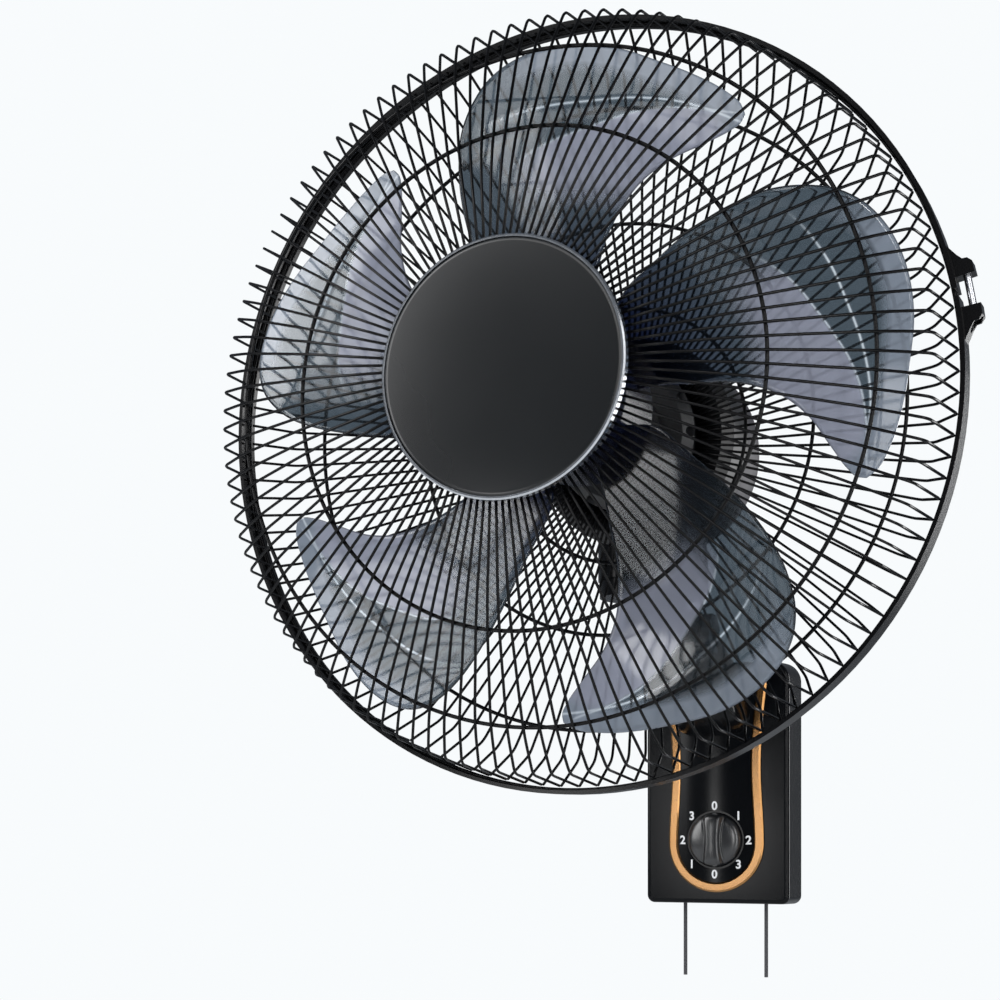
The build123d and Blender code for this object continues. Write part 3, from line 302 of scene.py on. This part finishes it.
def close_poles(points, faces, columns, first, last):
    """Adds a fan of triangles at the grid's first or last row, round the row's middle."""
    faces = [tuple(f) for f in faces]
    for wanted, start, step in ((first, 0, -1), (last, len(points) - columns, 1)):
        if wanted:
            middle = len(points)
            points = np.vstack([points, points[start:start + columns].mean(axis=0)])
            ring = [start + i for i in range(columns)]
            faces += [(ring[i], ring[(i + step) % columns], middle) for i in range(columns)]
    return points, faces


# The grid's first row is a single spot at the middle, so it gives way to a fan of triangles.
rings, spokes = x.shape
grid = np.column_stack([x.ravel(), y.ravel(), z.ravel()])[spokes:]
points, faces = close_poles(grid, grid_faces(rings - 1, spokes, True), spokes, True, True)
knob = add_mesh("knob_grip", points, faces)
knob.data.materials.append(knob_black)


def face_outwards(piece):
    """Turns every face of a closed mesh outwards."""
    shell = bmesh.new()
    shell.from_mesh(piece.data)
    bmesh.ops.recalc_face_normals(shell, faces=shell.faces)
    shell.to_mesh(piece.data)
    shell.free()


face_outwards(knob)
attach(knob, "knob")
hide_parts("speed_knob")


# ---------------------------------------------------------------- pull cords
# Two dark braided cords come straight down through bushes in the box's foot, one for the speed
# and one for the swing, and end bare.
cord_r = 0.00135
cord_black = grained("cord_black", (0.05, 0.05, 0.055), 0.62, 3800, 0.00012)
for side, word in ((-1, "speed"), (1, "swing")):
    low, high = (np.array(c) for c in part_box(f"{word}_cord"))
    x, y = (low[0] + high[0]) / 2, (low[1] + high[1]) / 2
    line = bpy.data.curves.new(f"{word}_pull_cord", "CURVE")
    line.dimensions, line.bevel_depth, line.bevel_resolution, line.use_fill_caps = "3D", cord_r, 4, True
    route = line.splines.new("NURBS")
    route.points.add(3)
    for point, height in zip(route.points, np.linspace(high[2], low[2], 4)):
        point.co = (x, y, height, 1)
    route.order_u, route.use_endpoint_u = 3, True
    cord = bpy.data.objects.new(f"{word}_pull_cord", line)
    bpy.context.scene.collection.objects.link(cord)
    line.materials.append(cord_black)
    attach(cord, f"{word}_pull")
    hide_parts(f"{word}_cord")


# ---------------------------------------------------------------- hardware and inner pieces
# Zinc-plated screws, pins and sheet; brown phenolic and pale nylon switch parts; the motor's
# lamination stack, copper coils, die-cast shield and bronze bearings.
def metal(name, colour, roughness, stretch):
    """Bare or plated metal with fine lines along one direction."""
    finish = bpy.data.materials.new(name)
    finish.use_nodes = True
    nodes, links = finish.node_tree.nodes, finish.node_tree.links
    shader = nodes["Principled BSDF"]
    shader.inputs["Base Color"].default_value = (*colour, 1)
    shader.inputs["Metallic"].default_value = 1
    place, turned, lines = (nodes.new(f"ShaderNode{kind}") for kind in ("TexCoord", "Mapping", "TexNoise"))
    turned.inputs["Scale"].default_value = stretch
    lines.inputs["Scale"].default_value = 60
    gloss = nodes.new("ShaderNodeMapRange")
    gloss.inputs["To Min"].default_value = roughness * 0.75
    gloss.inputs["To Max"].default_value = roughness * 1.25
    links.new(place.outputs["Object"], turned.inputs["Vector"])
    links.new(turned.outputs["Vector"], lines.inputs["Vector"])
    links.new(lines.outputs["Fac"], gloss.inputs["Value"])
    links.new(gloss.outputs["Result"], shader.inputs["Roughness"])
    return finish


dress(metal("zinc_plate", (0.62, 0.63, 0.66), 0.32, (1, 40, 1)),
      "wall_plate", "arm_strut", "swing_fork", "swing_motor")
dress(metal("plated_steel", (0.66, 0.67, 0.70), 0.24, (20, 20, 20)),
      "foot_screws", "arm_screws", "tilt_pin", "pan_post", "post_clip", "swing_crank", "clasp_screw",
      "clasp_nut", "badge_screws", "motor_bolts", "motor_shaft", "drive_pin", "switch_shaft")
dress(metal("laminations", (0.36, 0.37, 0.40), 0.42, (1, 220, 1)), "stator_core", "rotor_core")
dress(metal("copper", (0.72, 0.33, 0.15), 0.30, (60, 4, 60)), "windings")
dress(metal("cast_aluminium", (0.70, 0.71, 0.73), 0.48, (6, 6, 6)), "rear_bell")
dress(metal("bronze", (0.58, 0.42, 0.22), 0.40, (12, 12, 12)), "bearings")
dress(grained("phenolic", (0.045, 0.032, 0.026), 0.5, 1200, 0.00005), "rotary_switch", "pull_switches",
      "capacitor")
dress(grained("nylon", (0.70, 0.69, 0.64), 0.45, 1200, 0.00004), "terminal_block", "speed_slider",
      "swing_slider")
dress(grained("rubber_black", (0.016, 0.016, 0.016), 0.75, 2000, 0.00006), "cord_bushes", "inlet_bush")
dress(knob_black, "tilt_knob", "ring_nut", "spinner")


# ---------------------------------------------------------------- motor covers
# Two moulded halves meet round the motor: a black front shield that carries the guards, and a
# domed rear cover of satin plastic, slotted at the back for cooling, painted dark grey for the reflection it
# shows.
motor_black = grained("motor_black", (0.004, 0.004, 0.005), 0.36, 2200, 0.00004)
# Painted reflection: the rear cover's dark grey, lighter than the black front, stands in for the bright
# reflection it shows.
motor_grey = grained("motor_grey", (0.045, 0.042, 0.050), 0.46, 2200, 0.00004)
dress(motor_black, "motor_front_cowl")
dress(motor_grey, "motor_rear_cowl")


# ---------------------------------------------------------------- guards
# Each guard is 120 drawn steel wires bent over a former, welded to round support rings behind
# them and to a thick rim wire, then dipped in gloss black.
wire_black = grained("wire_black", (0.0020, 0.0020, 0.0024), 0.26, 1500, 0.00002, cloud=0.2, shine=0.18)
wires, wire_r, ring_r, rim_r, rim_wire_r = 120, 0.0008, 0.0011, 0.2134, 0.0011
wire_sides, wire_turn, rim_forward = 6, math.radians(0.4), 0.0013
# A ring's middle stands off a wire's by both radii and a little more, so that they stay just clear.
ring_off = (wire_r + ring_r) * 1.08
head_y, head_z = head_place[1], head_place[2]
# Radius and distance forward, in millimetres, of a wire's ends and of the corners it is bent at.
front_path = np.array([(60.0, 102.0), (120.0, 85.5), (182.5, 57.5), (206.0, 41.0), (211.2, 1.3)]) / 1000
rear_path = np.array([(40.0, -84.7), (80.0, -79.0), (196.0, -26.5), (211.2, -1.3)]) / 1000
front_bends, rear_bends = (0.020, 0.012, 0.0045), (0.012, 0.0045)


def bent(path, bends, steps=7):
    """Path with each corner swapped for a parabola that starts and ends the given way from it."""
    points = [path[0]]
    for i, reach in enumerate(bends, 1):
        before = path[i] + (path[i - 1] - path[i]) / np.linalg.norm(path[i - 1] - path[i]) * reach
        after = path[i] + (path[i + 1] - path[i]) / np.linalg.norm(path[i + 1] - path[i]) * reach
        for t in np.linspace(0, 1, steps):
            points.append((1 - t) ** 2 * before + 2 * t * (1 - t) * path[i] + t ** 2 * after)
    return np.array(points + [path[-1]])


def guard_wires(name, line, lean):
    """Round wires: a tube along the bent path, turned about the fan's axis for each wire. A lean turns
    its inner end farther round, by the square of the share of the way left to the rim."""
    along = np.gradient(line, axis=0)
    along /= np.linalg.norm(along, axis=1, keepdims=True)
    ring = 2 * np.pi * np.arange(wire_sides) / wire_sides
    out = wire_r * np.cos(ring)
    side = wire_r * np.sin(ring)
    r = line[:, :1] - along[:, 1:] * out
    h = line[:, 1:] + along[:, :1] * out
    across = np.broadcast_to(side, r.shape)
    share = (line[:, :1] - line[0, 0]) / (line[-1, 0] - line[0, 0])
    turn = wire_turn + 2 * np.pi * np.arange(wires)[:, None, None] / wires + lean * (1 - share) ** 2
    x = r * np.cos(turn) - across * np.sin(turn)
    z = r * np.sin(turn) + across * np.cos(turn)
    y = np.broadcast_to(-h, x.shape)
    points = np.stack([x, head_y + y, head_z + z], axis=-1).reshape(-1, 3)
    per_wire = len(line) * wire_sides
    one = grid_faces(len(line), wire_sides, True)
    faces = (one[None] + (np.arange(wires) * per_wire)[:, None, None]).reshape(-1, 4)
    caps = [tuple(range(wire_sides - 1, -1, -1)), tuple(range(per_wire - wire_sides, per_wire))]
    ends = [tuple(i + wire * per_wire for i in cap) for wire in range(wires) for cap in caps]
    piece = add_mesh(name, points, [tuple(f) for f in faces] + ends)
    piece.data.materials.append(wire_black)
    face_outwards(piece)
    return piece


def ring_faces(steps, sides):
    """Quads of a closed tube: a grid whose last row is also joined to its first."""
    joint = grid_faces(2, sides, True)
    joint = np.where(joint >= sides, joint - sides, joint + (steps - 1) * sides)
    return np.vstack([grid_faces(steps, sides, True), joint])


def torus(radius, forward, thick, steps=240, sides=12):
    """Round ring about the fan's axis: a circle of the wire's thickness carried round a circle."""
    turn = 2 * np.pi * np.arange(steps) / steps
    about = 2 * np.pi * np.arange(sides) / sides
    a, b = np.meshgrid(turn, about, indexing="ij")
    r = radius + thick * np.cos(b)
    y = head_y - forward - thick * np.sin(b)
    points = np.stack([r * np.cos(a), y, head_z + r * np.sin(a)], axis=-1)
    return points.reshape(-1, 3), ring_faces(steps, sides)


def guard_rings(name, path, radii, behind, rim_at):
    """Support rings close to the wires' path on their inner side, and the rim."""
    points, faces, count = [], [], 0
    rings = [(r, np.interp(r, path[:, 0], path[:, 1]) + behind * ring_off, ring_r) for r in radii]
    for radius, forward, thick in rings + [(rim_r, rim_at, rim_wire_r)]:
        ring_points, quads = torus(radius, forward, thick)
        points.append(ring_points)
        faces.append(quads + count)
        count += len(ring_points)
    piece = add_mesh(name, np.vstack(points), np.vstack(faces))
    piece.data.materials.append(wire_black)
    face_outwards(piece)
    return piece


front_lean = math.radians(1.2)
for side, path, radii, behind, lean, rim_at in (
        ("front", bent(front_path, front_bends), (0.0630, 0.1315, 0.1810), -1, front_lean, rim_forward),
        ("rear", bent(rear_path, rear_bends), (0.0760, 0.1210, 0.1787), 1, 0.0, -rim_forward)):
    made = guard_wires(f"{side}_wires", path, lean)
    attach(made, "head")
    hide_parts(f"{side}_guard_wires")
    made = guard_rings(f"{side}_rings", path, radii, behind, rim_at)
    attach(made, "head")
    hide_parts(f"{side}_guard_rings")
dress(wire_black, "rear_guard_plate")


# ---------------------------------------------------------------- clamp band
# Channel of black plastic sprung round both guards' rims. It holds them together and is drawn
# tight by a small screw and nut at its clasp.
band_black = grained("band_black", (0.0022, 0.0022, 0.0026), 0.24, 2200, 0.00003, shine=0.22)
dress(band_black, "guard_band")


# ---------------------------------------------------------------- badge
# Slightly domed charcoal disc clipped over the wires' inner ends, bare of any mark, with a thin
# bright ring round its edge.
badge_grey = grained("badge_grey", (0.0050, 0.0058, 0.0066), 0.28, 2400, 0.00001)
dress(badge_grey, "badge_clip")
dress(metal("badge_ring", (0.62, 0.64, 0.67), 0.22, (4, 4, 4)), "badge_rim")


def turned_about_axis(x, z, height, turn):
    """Points drawn in front view about the fan's axis, turned about it and set in place."""
    return np.stack([x * np.cos(turn) - z * np.sin(turn), head_y - height,
                     head_z + x * np.sin(turn) + z * np.cos(turn)], axis=-1)


badge_r, badge_edge, badge_rise, badge_bevel = 0.0658, 0.0042, 0.0030, 0.0004
badge_back = head_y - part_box("badge_cap")[1][1]


def badge_profile(rings=40):
    """Half section of the disc: a shallow dome whose rise falls with the square of the radius."""
    r = np.linspace(badge_r / rings, badge_r - badge_bevel, rings)
    dome = badge_back + badge_edge + badge_rise * (1 - (r / badge_r) ** 2)
    return np.vstack([np.column_stack([r, dome]), [(badge_r, dome[-1] - 0.0005), (badge_r, badge_back)]])


def domed_disc(name, profile, steps=200):
    """Open profile of (radius, forward) carried round the fan's axis, closed at both its ends."""
    turn = 2 * np.pi * np.arange(steps) / steps
    r, h = profile[:, :1], profile[:, 1:]
    points = turned_about_axis(r * np.ones(steps), 0 * r * np.ones(steps), h * np.ones(steps), turn)
    quads = grid_faces(len(profile), steps, True)
    points, faces = close_poles(points.reshape(-1, 3), quads, steps, True, True)
    piece = add_mesh(name, points, faces)
    face_outwards(piece)
    return piece


cap = domed_disc("badge_disc", badge_profile())
cap.data.materials.append(badge_grey)
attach(cap, "head")
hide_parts("badge_cap")


# ---------------------------------------------------------------- fan
# Five hooked blades and their hub, moulded in one piece of clear plastic tinted smoke blue. The
# roots are thick and read as navy; a step and a crease follow the outer edge to the tip.
blade_start, blades, blade_thick = math.radians(17.4), 5, 0.0020
crease_step, crease_width, rim_width = 0.0005, 0.0014, 0.0012
# Front view of one blade, in millimetres along its own line from the axis and across that line.
leading = np.array([(34.0, -6.0), (52.0, -11.0), (72.5, -19.1), (89.7, -25.6), (101.7, -32.6), (115.3, -44.1),
                    (124.8, -58.7), (131.6, -79.3), (136.5, -94.0), (139.8, -99.8), (143.7, -101.8)]) / 1000
trailing = np.array([(34.0, 21.0), (50.0, 35.0), (79.9, 43.8), (106.0, 49.6), (130.0, 51.9), (147.7, 51.1),
                     (163.2, 47.1), (176.9, 40.2), (187.3, 29.5), (192.7, 18.4), (195.9, 2.0), (195.3, -13.4),
                     (191.1, -31.6), (183.3, -49.5), (172.6, -70.9), (160.4, -89.3), (150.5, -99.4),
                     (144.7, -101.9)]) / 1000
inner_crease = np.array([(112.0, 34.0), (128.0, 24.0), (139.6, 8.2), (146.9, -11.3), (151.2, -25.9),
                         (154.5, -41.2), (155.0, -55.0), (153.0, -70.0), (146.0, -96.0)]) / 1000
outer_crease = np.array([(118.0, 66.0), (141.8, 49.5), (153.8, 31.5), (160.9, 8.6), (162.6, -13.6),
                         (162.5, -39.3), (157.0, -66.0), (149.0, -84.0), (140.0, -100.0)]) / 1000


def smooth_line(knots, count):
    """Curve through the knots: cubic between neighbours, its slope set by the knots each side."""
    span = np.concatenate([[0], np.cumsum(np.linalg.norm(np.diff(knots, axis=0), axis=1))])
    slope = np.gradient(knots, span, axis=0)
    at = np.linspace(0, span[-1], count)
    i = np.clip(np.searchsorted(span, at, side="right") - 1, 0, len(knots) - 2)
    width = (span[i + 1] - span[i])[:, None]
    t = (at[:, None] - span[i][:, None]) / width
    return ((2 * t ** 3 - 3 * t ** 2 + 1) * knots[i] + (t ** 3 - 2 * t ** 2 + t) * width * slope[i]
            + (3 * t ** 2 - 2 * t ** 3) * knots[i + 1] + (t ** 3 - t ** 2) * width * slope[i + 1])


# The sheet at the blade's root, and what each value gains out to the blade's reach.
blade_root, blade_reach = 0.034, 0.200
root_height, height_gain = 0.0116, 0.0083
root_slope, slope_gain = 0.335, -0.107
root_camber, camber_gain = 4.5, -4.1
sheet_bulge = 0.045


def blade_height(x, y):
    """Twisted sheet: height plus slope times y plus camber times y squared, each of the three changing
    evenly from root to end, plus a bulge that is nil at both and largest half way."""
    far = (x - blade_root) / (blade_reach - blade_root)
    height = root_height + height_gain * far
    slope = root_slope + slope_gain * far
    camber = root_camber + camber_gain * far
    return height + slope * y + camber * y ** 2 + sheet_bulge * far * (1 - far)


def away_from(line, x, y):
    """Distance from a curve in front view, to the nearest of its short straight pieces: positive
    on its outer side, negative towards the hub."""
    knots = smooth_line(line, 80)
    run = np.diff(knots, axis=0)
    dx, dy = x[..., None] - knots[:-1, 0], y[..., None] - knots[:-1, 1]
    share = np.clip((dx * run[:, 0] + dy * run[:, 1]) / (run ** 2).sum(axis=1), 0, 1)
    apart = np.hypot(dx - share * run[:, 0], dy - share * run[:, 1])
    near = apart.argmin(axis=-1)[..., None]
    side = np.sign(np.take_along_axis(run[:, 0] * dy - run[:, 1] * dx, near, axis=-1))
    return (side * np.take_along_axis(apart, near, axis=-1))[..., 0]


def blade_grid(rows=96, columns=64):
    """Straight lines across the blade from its leading to its trailing edge. Front and back skin lie half
    the thickness above and below the sheet, meet in a quarter round at the rim, and rise together by
    a smooth step over the outer crease."""
    t = np.linspace(0, 1, columns)
    a, b = smooth_line(leading, rows)[:, None], smooth_line(trailing, rows)[:, None]
    flat = a + (b - a) * t[None, :, None]
    base = blade_height(flat[..., 0], flat[..., 1])
    width = np.linalg.norm(b - a, axis=-1)
    rim = np.clip(width * np.minimum(t, 1 - t)[None, :] / rim_width, 0, 1)
    half = blade_thick / 2 * np.sqrt(1 - (1 - rim) ** 2)
    beyond = away_from(outer_crease, flat[..., 0], flat[..., 1])
    step = crease_step / (1 + np.exp(-beyond / crease_width))
    return flat, base + blade_thick / 2 + half + step, base + blade_thick / 2 - half + step


flat, front, back = blade_grid()
rows, columns = front.shape
loop_flat = np.concatenate([flat, flat[:, -2:0:-1]], axis=1)
loop_height = np.concatenate([front, back[:, -2:0:-1]], axis=1)
around = loop_flat.shape[1]
x, y = loop_flat[..., 0], loop_flat[..., 1]
# Three UV maps carry the distances that the tint follows: from both creases, from the axis and the
# trailing edge, and the place across and along the blade.
near_scale, place_scale = 10, 4
zones = {
    "creases": [0.5 + away_from(line, x, y) * near_scale for line in (inner_crease, outer_crease)],
    "reach": [np.hypot(x, y) / blade_reach, 0.5 - np.abs(away_from(trailing[3:], x, y)) * near_scale],
    "place": [0.5 + y * place_scale, x * place_scale],
}
points, faces = [], []
for i in range(blades):
    turn = blade_start + 2 * np.pi * i / blades
    points.append(turned_about_axis(x, y, loop_height, turn).reshape(-1, 3))
    faces += [tuple(f) for f in grid_faces(rows, around, True) + i * rows * around]
    start = i * rows * around
    faces.append(tuple(start + k for k in range(around)))
    faces.append(tuple(start + (rows - 1) * around + k for k in range(around)))
fan = add_mesh("fan_blades", np.vstack(points), faces)
face_outwards(fan)
corner_points = np.empty(len(fan.data.loops), int)
fan.data.loops.foreach_get("vertex_index", corner_points)
for name, (across, along) in zones.items():
    pairs = np.tile(np.stack([across, along], axis=-1).reshape(-1, 2), (blades, 1))
    fan.data.uv_layers.new(name=name).data.foreach_set("uv", pairs[corner_points].ravel())


# Tint by distance from the axis, from the navy root outwards, and the paler tints laid over it:
# a milky panel, an edge strip painted pale as sheen, and painted highlights on the creases.
depth_tints = ((0.0, (0.004, 0.006, 0.018)), (0.30, (0.008, 0.012, 0.032)), (0.42, (0.045, 0.060, 0.088)),
               (0.56, (0.068, 0.090, 0.112)), (1.0, (0.075, 0.100, 0.122)))
# The panel's tint is paler milky plastic; the strip's tint is painted sheen for the light that the bent outer
# edge catches.
panel_tint, strip_painted_sheen = (0.34, 0.36, 0.44), (0.26, 0.30, 0.36)
# The two line tints are painted highlights: the light lines that the creases catch, drawn into the colour.
inner_crease_painted_highlight, outer_crease_painted_highlight = (0.52, 0.57, 0.63), (0.62, 0.68, 0.74)
clear_share, milky_share = 0.90, 0.40


def smoke_plastic(name):
    """Clear tinted plastic: dark root, paler milky panel inside the inner crease, dark band between the
    creases and beyond, a milky strip along the outer edge painted pale as sheen for the light that bent
    edge catches, and a painted highlight, a light line, on each crease."""
    finish = bpy.data.materials.new(name)
    finish.use_nodes = True
    nodes, links = finish.node_tree.nodes, finish.node_tree.links
    shader = nodes["Principled BSDF"]
    read = {}
    for layer in zones:
        place, split = nodes.new("ShaderNodeUVMap"), nodes.new("ShaderNodeSeparateXYZ")
        place.uv_map = layer
        links.new(place.outputs["UV"], split.inputs["Vector"])
        read[layer] = split.outputs

    def ramp(source, *stops):
        """Colour by a distance."""
        node = nodes.new("ShaderNodeValToRGB")
        while len(node.color_ramp.elements) < len(stops):
            node.color_ramp.elements.new(0.5)
        for element, (at, colour) in zip(node.color_ramp.elements, stops):
            element.position = at
            element.color = (*colour, 1) if isinstance(colour, tuple) else (colour, colour, colour, 1)
        links.new(source, node.inputs["Fac"])
        return node.outputs["Color"]

    def product(a, b):
        """Two shares multiplied."""
        node = nodes.new("ShaderNodeMath")
        node.operation = "MULTIPLY"
        links.new(a, node.inputs[0])
        links.new(b, node.inputs[1])
        return node.outputs[0]

    def laid_over(below, colour, share):
        """A tint laid over another by a share."""
        node = nodes.new("ShaderNodeMix")
        node.data_type = "RGBA"
        node.inputs["B"].default_value = (*colour, 1)
        links.new(below, node.inputs["A"])
        links.new(share, node.inputs["Factor"])
        return node.outputs["Result"]

    tint = ramp(read["reach"]["X"], *depth_tints)
    panel = product(ramp(read["creases"]["X"], (0.0, 1.0), (0.490, 1.0), (0.502, 0.0)),
                    ramp(read["reach"]["X"], (0.52, 0.0), (0.60, 1.0)))
    panel = product(panel, ramp(read["place"]["X"], (0.53, 1.0), (0.60, 0.0)))
    tint = laid_over(tint, panel_tint, panel)
    # Milky strip along the outer edge, its pale tint painted sheen for the light that the bent edge catches.
    strip = product(ramp(read["reach"]["Y"], (0.33, 0.0), (0.40, 1.0)),
                    ramp(read["place"]["X"], (0.56, 1.0), (0.66, 0.0)))
    tint = laid_over(tint, strip_painted_sheen, strip)
    # Painted highlights: a thin light line along each crease, fading out towards the trailing side.
    crest = (0.491, 0.0), (0.498, 1.0), (0.502, 1.0), (0.509, 0.0)
    inner_painted_highlight_mask = product(ramp(read["creases"]["X"], *crest),
                         ramp(read["place"]["X"], (0.52, 1.0), (0.62, 0.0)))
    outer_painted_highlight_mask = product(ramp(read["creases"]["Y"], *crest),
                         ramp(read["place"]["X"], (0.54, 1.0), (0.66, 0.0)))
    tint = laid_over(tint, inner_crease_painted_highlight, inner_painted_highlight_mask)
    tint = laid_over(tint, outer_crease_painted_highlight, outer_painted_highlight_mask)
    links.new(tint, shader.inputs["Base Color"])
    milky = nodes.new("ShaderNodeMath")
    milky.operation = "MAXIMUM"
    links.new(panel, milky.inputs[0])
    links.new(strip, milky.inputs[1])
    clear = nodes.new("ShaderNodeMapRange")
    clear.inputs["To Min"].default_value = clear_share
    clear.inputs["To Max"].default_value = milky_share
    links.new(milky.outputs[0], clear.inputs["Value"])
    links.new(clear.outputs["Result"], shader.inputs["Transmission Weight"])
    shader.inputs["Roughness"].default_value = 0.05
    shader.inputs["IOR"].default_value = 1.20
    shader.inputs["Coat Weight"].default_value = 0.8
    shader.inputs["Coat Roughness"].default_value = 0.10
    return finish


smoke = smoke_plastic("smoke_plastic")
fan.data.materials.append(smoke)
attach(fan, "rotor")
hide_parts("fan_blade")


def lathed(name, profile, steps=160):
    """Closed profile of (radius, forward) carried round the fan's axis, its facets left flat."""
    turn = 2 * np.pi * np.arange(steps) / steps
    r, h = profile[:, 0][None], profile[:, 1][None]
    points = turned_about_axis(r * np.ones((steps, 1)), 0 * r * np.ones((steps, 1)),
                               h * np.ones((steps, 1)), turn[:, None])
    piece = add_mesh(name, points.reshape(-1, 3), ring_faces(steps, len(profile)), smooth=False)
    face_outwards(piece)
    return piece


# Radius and distance forward, in millimetres, round the hub's wall and its bore.
hub_profile = np.array([(4.04, 38), (34, 38), (37.5, 37.2), (40.0, 35.0), (41, 32), (41, -12), (38.5, -12),
                        (38.5, 31), (33, 35.5), (11, 35.5), (11, -6), (4.04, -6)]) / 1000
hub = lathed("fan_hub", hub_profile)
hub.data.materials.append(grained("hub_navy", (0.004, 0.006, 0.016), 0.25, 2200, 0.00002, coat=0.2))
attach(hub, "rotor")
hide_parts("fan_blade")
